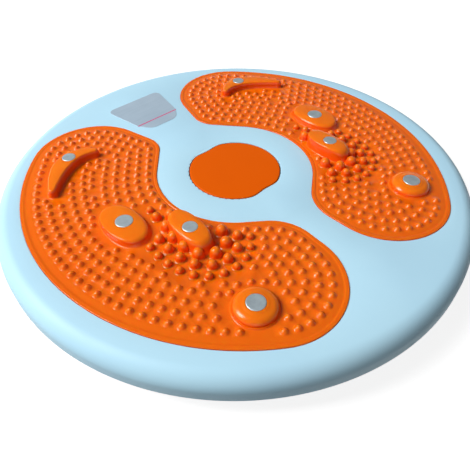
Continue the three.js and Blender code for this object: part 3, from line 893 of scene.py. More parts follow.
@dataclass(frozen=True)
class CoverPlan:
    """The cover's outline: a circle with two finger notches."""

    radius: float = 27.6 * MM
    notch_depth: float = 2.1 * MM
    notch_half_angle: float = 0.44
    steps: int = 240

    def loop(self, inset: float) -> np.ndarray:
        """Gives the outline drawn in by a distance.

        Over each notch the radius is smaller by half a cosine wave of the bearing, so that the
        notch runs softly into the circle.

        Args:
            inset: How far it is drawn in, or let out where negative.

        Returns:
            Loop of points with two coordinates.
        """
        angle = np.arange(self.steps) * FULL_TURN / self.steps
        off = np.minimum(np.abs(np.abs(angle - math.pi) - math.pi / 2) / self.notch_half_angle, 1.0)
        reach = self.radius - self.notch_depth * (0.5 + 0.5 * np.cos(math.pi * off)) - inset
        return reach[:, None] * unit_circle(self.steps)

    def ring(self, inset: float, height: float) -> np.ndarray:
        """Gives the outline drawn in by a distance, as points at a height."""
        return lifted(self.loop(inset), height)


# Sub-assemblies


@dataclass
class Board:
    """The turning board: one moulding with a rounded skirt, two pad pockets and a cover well."""

    finish: bpy.types.Material
    plan: PadPlan
    cover_plan: CoverPlan
    radius: float
    top: float
    skirt_depth: float = 14.4 * MM
    skirt_row: float = 4.0 * MM
    wall: float = 3.0 * MM
    shoulder: float = 8.7 * MM
    lip_round: float = 0.6 * MM
    flat_margin: float = 2.0 * MM
    pocket_depth: float = 2.4 * MM
    pocket_gap: float = 0.16 * MM
    pocket_round: float = 0.12 * MM
    tray_wall: float = 3.2 * MM
    tray_depth: float = 2.0 * MM
    cover_recess: float = 28.1 * MM
    cover_ledge: float = 2.4 * MM
    cover_gap: float = 0.5 * MM
    land_drop: float = 0.06 * MM
    well_radius: float = 20.0 * MM
    well_depth: float = 11.0 * MM
    well_steps: int = 144
    bush_bore: float = 6.75 * MM
    rib_count: int = 8
    rib_height: float = 4.85 * MM
    rib_thickness: float = 2.0 * MM
    rib_gap: float = 0.05 * MM
    rib_taper: float = 0.8
    steps: int = 288

    @property
    def bend(self) -> float:
        """Radius at which the shoulder starts to bend down."""
        return self.radius - self.shoulder

    @property
    def flat(self) -> float:
        """Radius of the flat top and underside, a little inside the bend."""
        return self.bend - self.flat_margin

    @property
    def underside(self) -> float:
        """Height of the underside."""
        return self.top - self.wall

    def build(self) -> None:
        """Builds the shell and the ribs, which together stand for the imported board."""
        shell = self.shell()
        ribs = self.ribs()
        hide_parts("top_disc")
        for piece in (shell, ribs):
            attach(piece, Body.TURNTABLE.value)

    def shell(self) -> bpy.types.Object:
        """Builds the shell: skirt, shoulder and well are turned, and the top and underside are
        flat faces cut by the pads' outlines.

        Returns:
            The shell.
        """
        skin = Skin()
        self.skirt(skin)
        self.well(skin)
        left = self.plan.outline()
        outlines = [left, left.mirrored()]
        rim = self.pocket_gap + self.pocket_round
        mouths = [outline.inset(-rim) for outline in outlines]
        trays = [outline.inset(-self.tray_wall) for outline in outlines]
        face = circle(self.flat, self.steps)
        recess = circle(self.cover_recess + self.lip_round, self.well_steps)
        skin.plane(face, [recess, *mouths], self.top)
        well = circle(self.cover_recess + self.wall, self.well_steps)
        skin.plane(face, [well, *trays], self.underside)
        for outline in outlines:
            self.pocket(skin, outline)
        return skin.build("board_shell", self.finish)

    def skirt(self, skin: Skin) -> None:
        """Adds the shoulder and the skirt with its rounded lower edge, outside and inside.

        Args:
            skin: The shell's skin.
        """
        edge = self.lip_round
        bend_level = self.top - self.shoulder
        bottom = self.top - self.skirt_depth
        skin.grids(turned([
            (self.flat, self.top),
            *round_corner((self.bend, bend_level), self.shoulder, 90, 0, 18),
            (self.radius, bottom + self.skirt_row),
            *round_corner((self.radius - edge, bottom + edge), edge, 0, -90, 5),
            *round_corner((self.radius - self.wall + edge, bottom + edge), edge, 270, 180, 5),
            *round_corner((self.bend, bend_level), self.shoulder - self.wall, 0, 90, 10),
            (self.flat, self.underside),
        ], self.steps))

    def well(self, skin: Skin) -> None:
        """Adds the land round the cover, the ledge that it rests on, and the well below it.

        Args:
            skin: The shell's skin.
        """
        recess, mouth = self.cover_recess, self.cover_recess + self.lip_round
        ledge_level = self.top - self.cover_ledge
        well_level = self.top - self.well_depth
        well_wall = self.well_radius + self.wall
        land_level = self.top - self.land_drop
        seam = self.cover_plan.loop(-self.cover_gap)
        skin.grids(turned([
            (mouth, self.top),
            *round_corner((mouth, land_level), self.land_drop, 90, 180, 5), (recess, land_level),
        ], self.well_steps))
        skin.plane(circle(recess, self.well_steps), [seam], land_level)
        skin.grids(np.stack([lifted(seam, level) for level in (land_level, ledge_level)]))
        skin.plane(seam, [circle(self.well_radius, self.well_steps)], ledge_level)
        skin.grids(turned([
            (self.well_radius, ledge_level), (self.well_radius, well_level),
            (self.bush_bore, well_level), (self.bush_bore, well_level - self.wall),
            (well_wall, well_level - self.wall), (well_wall, ledge_level - self.wall),
            (recess + self.wall, ledge_level - self.wall), (recess + self.wall, self.underside),
        ], self.well_steps))

    def pocket(self, skin: Skin, outline: Outline) -> None:
        """Adds a pad's pocket: a rounded mouth, a wall, a floor, and the tray below it.

        Args:
            skin: The shell's skin.
            outline: The pad's outline.
        """
        gap, rounding, tray = self.pocket_gap, self.pocket_round, self.tray_wall
        floor = self.top - self.pocket_depth
        tray_level = self.underside - self.tray_depth
        corner = round_corner((-gap - rounding, -rounding), rounding, 90, 0, 4)
        rings = [outline.ring(inset, self.top + drop) for inset, drop in corner]
        skin.grids(np.stack([*rings, outline.ring(-gap, floor)]))
        skin.plane(outline.inset(-gap), [], floor)
        skin.grids(np.stack([outline.ring(-tray, level) for level in (self.underside, tray_level)]))
        skin.plane(outline.inset(-tray), [], tray_level)

    def ribs(self) -> bpy.types.Object:
        """Builds the ribs under the board: bars from the well to the shoulder, evenly turned,
        with a section that narrows downwards.

        Returns:
            The ribs, as one piece.
        """
        reaches = (self.cover_recess + self.wall * 1.1, self.bend)
        top = self.underside - self.tray_depth - self.rib_gap
        bottom = self.underside - self.rib_height
        half = self.rib_thickness / 2
        narrow = half * self.rib_taper
        section = np.array([(-half, top), (half, top), (narrow, bottom), (-narrow, bottom)])
        skin = Skin()
        for number in range(self.rib_count):
            angle = (number + 0.5) * FULL_TURN / self.rib_count
            along = np.array([math.cos(angle), math.sin(angle)])
            side = np.array([-along[1], along[0]])
            rings = np.stack([
                np.column_stack([along * reach + section[:, :1] * side, section[:, 1]])
                for reach in reaches
            ])
            skin.grids(rings)
            skin.caps(rings, rings.mean(axis=1))
        return skin.build("board_ribs", self.finish)


@dataclass(frozen=True)
class Boss:
    """An oval boss on a pad: its place in shares of the board's radius, its sizes and its magnet."""

    name: str
    x_share: float
    y_share: float
    half_x: float
    half_y: float
    top_share: float
    fullness: float
    height: float
    magnet_radius: float
    soft: float
    crown_shift: Pair = (0.0, 0.0)
    steps: int = 64

    def centre(self, board_radius: float) -> np.ndarray:
        """Gives the boss's middle in metres."""
        return np.array([self.x_share, self.y_share]) * board_radius

    def oval(self, board_radius: float, share: float) -> np.ndarray:
        """Gives the boss's outline at a share of its size.

        It is a superellipse: |x / half_x| and |y / half_y| to the power of the fullness add up
        to one, so that 2 is an ellipse and more has fuller shoulders.

        Args:
            board_radius: The board's radius, which the place is a share of.
            share: Share of the full size.

        Returns:
            Loop of points with two coordinates.
        """
        unit = unit_circle(self.steps)
        full = np.sign(unit) * np.abs(unit) ** (2 / self.fullness)
        return self.centre(board_radius) + full * np.array([self.half_x, self.half_y]) * share


@dataclass(frozen=True)
class Ridge:
    """The crescent under the toes: a curve from start over crown to end, widest in the middle."""

    start_share: Pair = (-0.664, 0.375)
    crown_share: Pair = (-0.529, 0.514)
    end_share: Pair = (-0.396, 0.5)
    half_end: float = 3.0 * MM
    half_mid: float = 6.4 * MM
    swell_power: float = 0.9
    height: float = 5.4 * MM
    magnet_radius: float = 4.0 * MM
    magnet_share: float = 0.58
    lean: float = 2.0 * MM
    soft: float = 0.7
    stations: int = 25
    cap_steps: int = 8

    def curve(self, board_radius: float, share: np.ndarray) -> tuple[np.ndarray, np.ndarray]:
        """Gives places and headings along a quadratic curve through the three given places.

        At a share s of the way, the place is the sum of start, control and end weighed by
        (1 - s) squared, 2 s (1 - s) and s squared, and the heading is its slope.

        Args:
            board_radius: The board's radius, which the places are shares of.
            share: Shares of the way.

        Returns:
            Places and headings of length one, each with two coordinates.
        """
        start, crown, end = (
            np.array(place) * board_radius
            for place in (self.start_share, self.crown_share, self.end_share)
        )
        control = 2 * crown - (start + end) / 2
        share = share[:, None]
        place = (1 - share) ** 2 * start + 2 * share * (1 - share) * control + share ** 2 * end
        heading = 2 * (1 - share) * (control - start) + 2 * share * (end - control)
        return place, heading / np.linalg.norm(heading, axis=1, keepdims=True)

    def magnet_place(self, board_radius: float) -> np.ndarray:
        """Gives the middle of its magnet in metres."""
        return self.curve(board_radius, np.array([self.magnet_share]))[0][0]

    def loop(self, board_radius: float, shrink: float) -> np.ndarray:
        """Gives the crescent's outline: two flanks beside the curve and two round ends.

        Its half width grows from the ends to the middle by a sine wave raised to a power.

        Args:
            board_radius: The board's radius.
            shrink: How far the outline is drawn in.

        Returns:
            Loop of points with two coordinates.
        """
        share = np.linspace(0, 1, self.stations)
        place, heading = self.curve(board_radius, share)
        normal = np.column_stack([-heading[:, 1], heading[:, 0]])
        swell = np.sin(math.pi * share) ** self.swell_power
        half = (self.half_end + (self.half_mid - self.half_end) * swell - shrink)[:, None]
        right, left = place - normal * half, place + normal * half
        arc = np.linspace(0, math.pi, self.cap_steps + 1)[1:-1, None]
        end = place[-1] + half[-1] * (-normal[-1] * np.cos(arc) + heading[-1] * np.sin(arc))
        start = place[0] + half[0] * (normal[0] * np.cos(arc) - heading[0] * np.sin(arc))
        return np.vstack([right, end, left[::-1], start])


@dataclass(frozen=True)
class TallRing:
    """A ring of tall nubs round the arch boss: how far out, its spacing, and the nubs' sizes."""

    reach: float
    pitch: float
    radius: float
    height: float


@dataclass
class FootPads:
    """The two soft pads: a rim, a bare dished band, bosses with magnets, and rows of nubs."""

    finish: bpy.types.Material
    magnet_finish: bpy.types.Material
    plan: PadPlan
    board_radius: float
    board_top: float
    pad_bottom: float
    hem: float = 0.25 * MM
    lip_rise: float = 0.48 * MM
    lip_round_share: float = 0.7
    bead_place: float = 1.6 * MM
    bead_dip: float = 0.03 * MM
    bead_rows: tuple[Pair, ...] = ((0.62, 0.6), (0.78, 1.0), (0.9, 0.3))
    field_rise: float = 0.35 * MM
    band_depth: float = 0.16 * MM
    band_low_share: float = 0.3
    band_margin: float = 2.6 * MM
    band_outer: float = 8.8 * MM
    band_lobe: float = 7.8 * MM
    band_corner: float = 6.6 * MM
    band_waist: float = 5.6 * MM
    band_steps: int = 10
    nub_radius: float = 1.75 * MM
    nub_height: float = 1.65 * MM
    nub_foot: float = 1.34
    nub_pitch: float = 6.4 * MM
    nub_row_pitch: float = 6.5 * MM
    nub_grid: tuple[int, int] = (14, 7)
    row_slack: float = 0.3 * MM
    fill_share: float = 0.82
    fill_rows: int = 4
    tall_rings: tuple[TallRing, ...] = (
        TallRing(3.2 * MM, 8.9 * MM, 3.3 * MM, 5.2 * MM),
        TallRing(9.6 * MM, 8.6 * MM, 2.7 * MM, 4.2 * MM),
        TallRing(16.0 * MM, 7.6 * MM, 2.15 * MM, 2.9 * MM),
    )
    tall_shift: Pair = (3.4 * MM, 0.4 * MM)
    tall_room: float = 0.6
    tall_root: float = 0.5 * MM
    tall_grid: tuple[int, int] = (20, 9)
    keep_out: float = 1.3 * MM
    boss_flare: float = 0.9 * MM
    boss_flare_rise: float = 0.7
    boss_flank: float = 0.6
    boss_dome: float = 0.45 * MM
    boss_dome_rows: tuple[float, ...] = (0.2, 0.45, 0.7, 0.88, 1.0)
    magnet_thickness: float = 2.4 * MM
    magnet_proud: float = 0.25 * MM
    magnet_gap: float = 0.15 * MM
    magnet_edge: float = 0.3 * MM
    magnet_dish: tuple[Pair, ...] = ((0.8, 0.04 * MM), (0.3, 0.07 * MM), (0.0, 0.07 * MM))
    socket_steps: int = 48
    bosses: tuple[Boss, ...] = (
        Boss("oval", -0.551, 0.0186, 10.8 * MM, 17.8 * MM, 0.8, 2.2, 4.85 * MM, 4.75 * MM, 0.6,
             (-1.3 * MM, 0.9 * MM)),
        Boss("arch", -0.401, -0.194, 8.0 * MM, 15.8 * MM, 0.8, 2.5, 8.0 * MM, 4.0 * MM, 0.65,
             (0.5 * MM, 3.0 * MM)),
        Boss("heel", -0.449, -0.5864, 11.5 * MM, 11.5 * MM, 0.6, 2.0, 4.8 * MM, 4.75 * MM, 0.85),
    )
    ridge: Ridge = Ridge()
    smooth_angle: float = 50.0

    @property
    def field_level(self) -> float:
        """Height of the flat field between the nubs."""
        return self.board_top + self.field_rise

    def build(self) -> None:
        """Builds the left pad and its magnets, and their mirror images."""
        small, tall = self.nub_places()
        for side in Side:
            word = side.name.lower()
            pad = self.pad(f"{word}_pad", side, small, tall)
            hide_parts(f"{word}_foot_pad")
            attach(pad, Body.TURNTABLE.value)
            for name, place, radius, face in self.magnet_seats():
                self.magnet(f"{word}_{name}_magnet", place * np.array([-side.value, 1]), radius, face)

    def face_and_floor(self, height: float) -> Pair:
        """Gives the heights of a magnet's face and its socket's floor, in a boss of a height."""
        face = self.board_top + height + self.magnet_proud
        return face, face - self.magnet_thickness - self.magnet_gap

    def magnet_seats(self) -> list[tuple[str, np.ndarray, float, float]]:
        """Gives the left pad's magnets.

        Returns:
            Name, place, radius and height of the face of each.
        """
        size, ridge = self.board_radius, self.ridge
        seats = [
            (boss.name, boss.centre(size), boss.magnet_radius, self.face_and_floor(boss.height)[0])
            for boss in self.bosses
        ]
        face = self.face_and_floor(ridge.height)[0]
        return [*seats, ("ridge", ridge.magnet_place(size), ridge.magnet_radius, face)]

    def magnet(self, node: str, place: np.ndarray, radius: float, face: float) -> None:
        """Builds one magnet: a turned disc with a rounded rim and a shallow turned dish.

        Args:
            node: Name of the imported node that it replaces.
            place: Its middle.
            radius: Its radius.
            face: Height of its face.
        """
        bottom = face - self.magnet_thickness
        edge = self.magnet_edge
        profile = [
            (0.0, bottom), (radius, bottom), (radius, face - edge),
            *round_corner((radius - edge, face - edge), edge, 10, 90, 4),
            *((radius * share, face - drop) for share, drop in self.magnet_dish),
        ]
        piece = lathe(f"{node}_disc", profile, 56, self.magnet_finish, (float(place[0]), float(place[1])))
        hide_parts(node)
        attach(piece, Body.TURNTABLE.value)

    def foot_loops(self) -> list[np.ndarray]:
        """Gives the outlines of the bosses and the ridge where they meet the field."""
        size = self.board_radius
        return [*(boss.oval(size, 1.0) for boss in self.bosses), self.ridge.loop(size, 0.0)]

    def field_outline(self) -> Outline:
        """Gives the line that the outermost row of nubs stands on."""
        return self.plan.outline(self.band_outer, self.band_lobe, self.band_corner, self.band_waist)

    def nub_places(self) -> tuple[np.ndarray, np.ndarray]:
        """Works out where the nubs stand.

        Returns:
            Small and tall nubs, each an array of x, y, radius and height.
        """
        outline = self.field_outline()
        loops = self.foot_loops()
        tall = self.tall_nubs(outline, loops)
        return self.small_nubs(outline, loops, tall), tall

    def tall_nubs(self, outline: Outline, loops: list[np.ndarray]) -> np.ndarray:
        """Places the tall nubs: rings round the arch boss that get lower with each ring.

        A ring is the boss's outline, moved, and let out along its normals, which stand square
        to the slope between the two neighbours of each point.

        Args:
            outline: Edge of the field of nubs.
            loops: Outlines of the bosses and the ridge.

        Returns:
            Array of x, y, radius and height.
        """
        arch_loop = loops[1] + np.array(self.tall_shift)
        others = [loops[0], *loops[2:]]
        offset = arch_loop - arch_loop.mean(axis=0)
        slope = np.roll(offset, -1, axis=0) - np.roll(offset, 1, axis=0)
        normals = np.column_stack([slope[:, 1], -slope[:, 0]])
        normals /= np.linalg.norm(normals, axis=1, keepdims=True)
        arch = Outline(arch_loop, normals)
        rings = []
        for ring in self.tall_rings:
            places = arch.spread(-ring.reach, ring.pitch)
            places = places[inside_loop(places, outline.points)]
            places = self.clear_of(places, others, ring.radius * self.tall_room)
            sizes = np.tile([ring.radius, ring.height], (len(places), 1))
            rings.append(np.column_stack([places, sizes]))
        return np.vstack(rings)

    def small_nubs(self, outline: Outline, loops: list[np.ndarray], tall: np.ndarray) -> np.ndarray:
        """Places the small nubs in rows parallel to the field's edge, from the edge to the middle.

        They stand wherever they clear the bosses, the tall nubs and the rows already there.
        Finer rows then fill the room where rows from two sides meet.

        Args:
            outline: Edge of the field of nubs.
            loops: Outlines of the bosses and the ridge.
            tall: The tall nubs.

        Returns:
            Array of x, y, radius and height.
        """
        small = np.empty((0, 4))
        full_rows = (1, self.nub_pitch - self.nub_radius / 2)
        finer_rows = (self.fill_rows, self.nub_pitch * self.fill_share)
        rows = [
            (inset, self.nub_pitch / parts, apart) for parts, apart in (full_rows, finer_rows)
            for inset in np.arange(0, self.board_radius / 2, self.nub_row_pitch / parts)
        ]
        for inset, pitch, apart in rows:
            places = outline.spread(inset, pitch)
            deep = distance_to(places, outline.points) > inset - self.row_slack
            inside = inside_loop(places, outline.points) if inset else np.ones(len(places), dtype=bool)
            for place in self.clear_of(places[deep & inside], loops, self.nub_radius):
                others = np.vstack([small, tall])
                gap = np.linalg.norm(others[:, :2] - place, axis=1) - others[:, 2] + self.nub_radius
                if gap.min() >= apart:
                    small = np.vstack([small, [*place, self.nub_radius, self.nub_height]])
        return small

    def clear_of(self, places: np.ndarray, loops: list[np.ndarray], radius: float) -> np.ndarray:
        """Keeps the places that clear every boss by the keep-out distance.

        Args:
            places: Array of places with two coordinates.
            loops: Outlines of the bosses and the ridge.
            radius: Radius of a nub.

        Returns:
            The places that are kept.
        """
        kept = np.ones(len(places), dtype=bool)
        for loop in loops:
            kept &= ~inside_loop(places, loop) & (distance_to(places, loop) > radius + self.keep_out)
        return places[kept]

    def nub_profile(self, rows: int) -> tuple[np.ndarray, np.ndarray]:
        """Gives a nub's profile as shares of its radius and height.

        The height falls from the middle to the foot as half a cosine wave, raised to a power
        that makes the top fuller, so that the nub runs out softly into the field.

        Args:
            rows: Rows of points over the side and the top.

        Returns:
            Shares of the radius, which start above 1 at the foot, and shares of the height.
        """
        radius = np.linspace(self.nub_foot, self.nub_foot * 0.16, rows)
        height = (0.5 + 0.5 * np.cos(math.pi * radius / self.nub_foot)) ** 0.6
        return radius, height

    def dome_profile(self, rows: int) -> tuple[np.ndarray, np.ndarray]:
        """Gives a tall nub's profile: a short flare at the foot and a half ellipse over it.

        Args:
            rows: Rows of points over the ellipse.

        Returns:
            Shares of the radius and shares of the height, from the foot up.
        """
        lean = np.linspace(0, 1, rows) ** 0.9 * (math.pi / 2) * 0.94
        radius = np.concatenate([[1.3, 1.12, 1.02], np.cos(lean) ** 0.9 * 0.98])
        height = np.concatenate([[0.0, 0.04, 0.12], 0.2 + 0.8 * np.sin(lean)])
        return radius, height

    def nub_points(self, nubs: np.ndarray, around: int,
                   profile: tuple[np.ndarray, np.ndarray]) -> np.ndarray:
        """Gives the points of nubs as grids of profile and angle.

        Args:
            nubs: Array of x, y, radius and height.
            around: Points round a nub.
            profile: Shares of the radius and of the height, from foot to top.

        Returns:
            Array of nubs, profile points, angles and three coordinates.
        """
        radius_share, height_share = profile
        reach = nubs[:, 2, None] * radius_share
        flat = nubs[:, None, None, :2] + reach[..., None, None] * unit_circle(around)
        level = (self.field_level + nubs[:, 3, None] * height_share)[..., None, None]
        return np.concatenate([flat, np.broadcast_to(level, (*flat.shape[:3], 1))], axis=-1)

    def tops(self, nubs: np.ndarray) -> np.ndarray:
        """Gives the highest points of nubs."""
        return np.column_stack([nubs[:, :2], self.field_level + nubs[:, 3]])

    def add_nubs(self, skin: Skin, nubs: np.ndarray) -> list[np.ndarray]:
        """Adds the small nubs, each closed by a fan at its top and open at its foot.

        Args:
            skin: The pad's skin.
            nubs: Array of x, y, radius and height.

        Returns:
            The loops where the nubs meet the field.
        """
        around, rows = self.nub_grid
        points = self.nub_points(nubs, around, self.nub_profile(rows))
        skin.grids(points)
        skin.caps(points[:, -1], self.tops(nubs))
        return list(points[:, 0, :, :2])

    def add_domes(self, skin: Skin, nubs: np.ndarray) -> None:
        """Adds the tall nubs, each a closed skin rooted in the pad, so that they may touch.

        Args:
            skin: The pad's skin.
            nubs: Array of x, y, radius and height.
        """
        around, rows = self.tall_grid
        points = self.nub_points(nubs, around, self.dome_profile(rows))
        root = points[:, :1] - np.array([0.0, 0.0, self.tall_root])
        points = np.concatenate([root, points], axis=1)
        skin.grids(points)
        skin.caps(points[:, -1], self.tops(nubs))
        skin.caps(points[:, 0], lifted(nubs[:, :2], self.field_level - self.tall_root))

    def boss_levels(self, height: float, lean: float, soft: float) -> list[Pair]:
        """Gives a boss's flank: how far it is drawn in and how high, from foot to shoulder.

        A quarter circle flares out at the foot, a straight flank leans in, and an ellipse
        rounds the shoulder.

        Args:
            height: Height of the crown over the board.
            lean: How far the shoulder is drawn in.
            soft: Share of the flank that the shoulder's rounding takes.

        Returns:
            Pairs of inset and rise over the field.
        """
        flare = self.boss_flare
        rise = height - self.field_rise - self.boss_dome
        drop = rise * soft
        plain = lean * (1 - soft) * self.boss_flank
        foot = [(-flare * (1 - math.sin(a)), flare * self.boss_flare_rise * (1 - math.cos(a)))
                for a in np.linspace(0, math.pi / 2, 5)]
        shoulder = [(plain + (lean - plain) * (1 - math.cos(a)), rise - drop * (1 - math.sin(a)))
                    for a in np.linspace(0, math.pi / 2, 9)]
        return [*foot, *shoulder]

    def add_oval_boss(self, skin: Skin, boss: Boss) -> np.ndarray:
        """Adds an oval boss: rings of the oval up to the crown, then rings that ease into the
        circle of the magnet's socket, its wall and its floor.

        Args:
            skin: The pad's skin.
            boss: The boss.

        Returns:
            The loop where the boss meets the field.
        """
        size = self.board_radius
        mean_half = min(boss.half_x, boss.half_y)
        levels = self.boss_levels(boss.height, mean_half * (1 - boss.top_share), boss.soft)
        most = levels[-1][0]
        shift = np.array(boss.crown_shift)
        rings = [
            (boss.oval(size, 1 - inset / mean_half) + shift * max(inset, 0.0) / most, self.field_level + rise)
            for inset, rise in levels
        ]
        crest, shoulder = rings[-1]
        magnet = boss.centre(size)
        socket = circle(boss.magnet_radius + self.magnet_gap, len(crest), magnet)
        for share in self.boss_dome_rows:
            dome = self.boss_dome * math.sin(share * math.pi / 2)
            rings.append((crest * (1 - share) + socket * share, shoulder + dome))
        skin.grids(np.stack([lifted(loop, level) for loop, level in rings]))
        skin.socket(socket, magnet, rings[-1][1], self.face_and_floor(boss.height)[1])
        return rings[0][0]

    def add_ridge(self, skin: Skin) -> np.ndarray:
        """Adds the crescent: its outline drawn in level by level, a flat crown and a socket.

        Args:
            skin: The pad's skin.

        Returns:
            The loop where the ridge meets the field.
        """
        size, ridge = self.board_radius, self.ridge
        levels = self.boss_levels(ridge.height + self.boss_dome, ridge.lean, ridge.soft)
        rings = [(ridge.loop(size, inset), self.field_level + rise) for inset, rise in levels]
        skin.grids(np.stack([lifted(loop, level) for loop, level in rings]))
        crest, crown = rings[-1]
        magnet = ridge.magnet_place(size)
        socket = circle(ridge.magnet_radius + self.magnet_gap, self.socket_steps, magnet)
        skin.plane(crest, [socket], crown)
        skin.socket(socket, magnet, crown, self.face_and_floor(ridge.height)[1])
        return rings[0][0]

    def band_profile(self) -> list[Pair]:
        """Gives the bare band inside the rim: how far across it, and how high over the field.

        It falls from the rim's crest as a half cosine to its lowest line, and rises as another
        half cosine to the field.

        Returns:
            Pairs of share across and height.
        """
        share = np.linspace(0, 1, self.band_steps + 1)
        crest = self.lip_rise - self.field_rise
        low = self.band_low_share
        fall = crest + (-self.band_depth - crest) * (1 - np.cos(np.minimum(share / low, 1) * math.pi)) / 2
        rise = self.band_depth * (1 - np.cos(np.maximum(share - low, 0) / (1 - low) * math.pi)) / 2
        return list(zip(share.tolist(), (fall + rise).tolist()))

    def edge_rings(self, outline: Outline) -> list[np.ndarray]:
        """Gives the rings of the pad's edge: hem, wall, rounded lip, bead and bare band.

        Args:
            outline: The pad's outline.

        Returns:
            Rings of points with three coordinates, from the bottom to the field.
        """
        crest = self.board_top + self.lip_rise
        rounding = self.lip_rise * self.lip_round_share
        bead = self.bead_place
        edge = [
            (self.hem, self.pad_bottom), (0.0, self.pad_bottom + self.hem), (0.0, crest - rounding),
            *round_corner((rounding, crest - rounding), rounding, 165, 90, 5),
            *((bead * across, crest - self.bead_dip * dip) for across, dip in self.bead_rows),
        ]
        width = distance_to(outline.points, self.field_outline().points) - self.band_margin
        band = [(bead + (width - bead) * share, self.field_level + rise)
                for share, rise in self.band_profile()]
        return [outline.ring(inset, level) for inset, level in [*edge, *band]]

    def pad(self, name: str, side: Side, small: np.ndarray, tall: np.ndarray) -> bpy.types.Object:
        """Builds a pad as one closed skin on the left side, and mirrors it for the right.

        Args:
            name: Name of the piece.
            side: The foot that it is for.
            small: Small nubs, as x, y, radius and height.
            tall: Tall nubs in the same form.

        Returns:
            The pad.
        """
        outline = self.plan.outline()
        rings = self.edge_rings(outline)
        skin = Skin()
        skin.grids(np.stack(rings))
        skin.plane(outline.inset(self.hem), [], self.pad_bottom)
        holes = [self.add_oval_boss(skin, boss) for boss in self.bosses]
        holes.append(self.add_ridge(skin))
        holes += self.add_nubs(skin, small)
        self.add_domes(skin, tall)
        skin.plane(rings[-1][:, :2], holes, self.field_level)
        if side is Side.RIGHT:
            skin.points = [points * np.array([-1.0, 1.0, 1.0]) for points in skin.points]
        return skin.build(name, self.finish, self.smooth_angle)


@dataclass
class CentreCover:
    """The round cover over the bolt: flat, with a rounded edge and two finger notches."""

    finish: bpy.types.Material
    plan: CoverPlan
    top: float
    thickness: float = 2.4 * MM
    edge: float = 0.55 * MM
    chamfer: float = 0.3 * MM
    spigot_radius: float = 19.65 * MM
    spigot_wall: float = 1.5 * MM
    spigot_depth: float = 3.0 * MM

    def build(self) -> None:
        """Builds the lid with its rounded edge, and the spigot ring that holds it in the well."""
        bottom = self.top - self.thickness
        ring = self.plan.ring
        rounded = round_corner((self.edge, -self.edge), self.edge, 180, 90, 6)
        rings = np.stack([
            ring(self.chamfer, bottom), ring(0.0, bottom + self.chamfer),
            *(ring(inset, self.top + drop) for inset, drop in rounded),
            ring(self.edge * 3, self.top), ring(self.plan.radius * 0.5, self.top),
        ])
        skin = Skin()
        skin.grids(rings)
        skin.caps(rings[[0, -1]], np.array([[0, 0, bottom], [0, 0, self.top]]))
        lid = skin.build("cover_lid", self.finish)
        outer = self.spigot_radius
        inner = outer - self.spigot_wall
        low = bottom - self.spigot_depth
        spigot = lathe("cover_spigot", [
            (inner, low), (outer - self.chamfer, low), (outer, low + self.chamfer),
            (outer, bottom), (inner, bottom),
        ], 120, self.finish)
        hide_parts("centre_cover")
        for piece in (lid, spigot):
            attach(piece, Body.TURNTABLE.value)


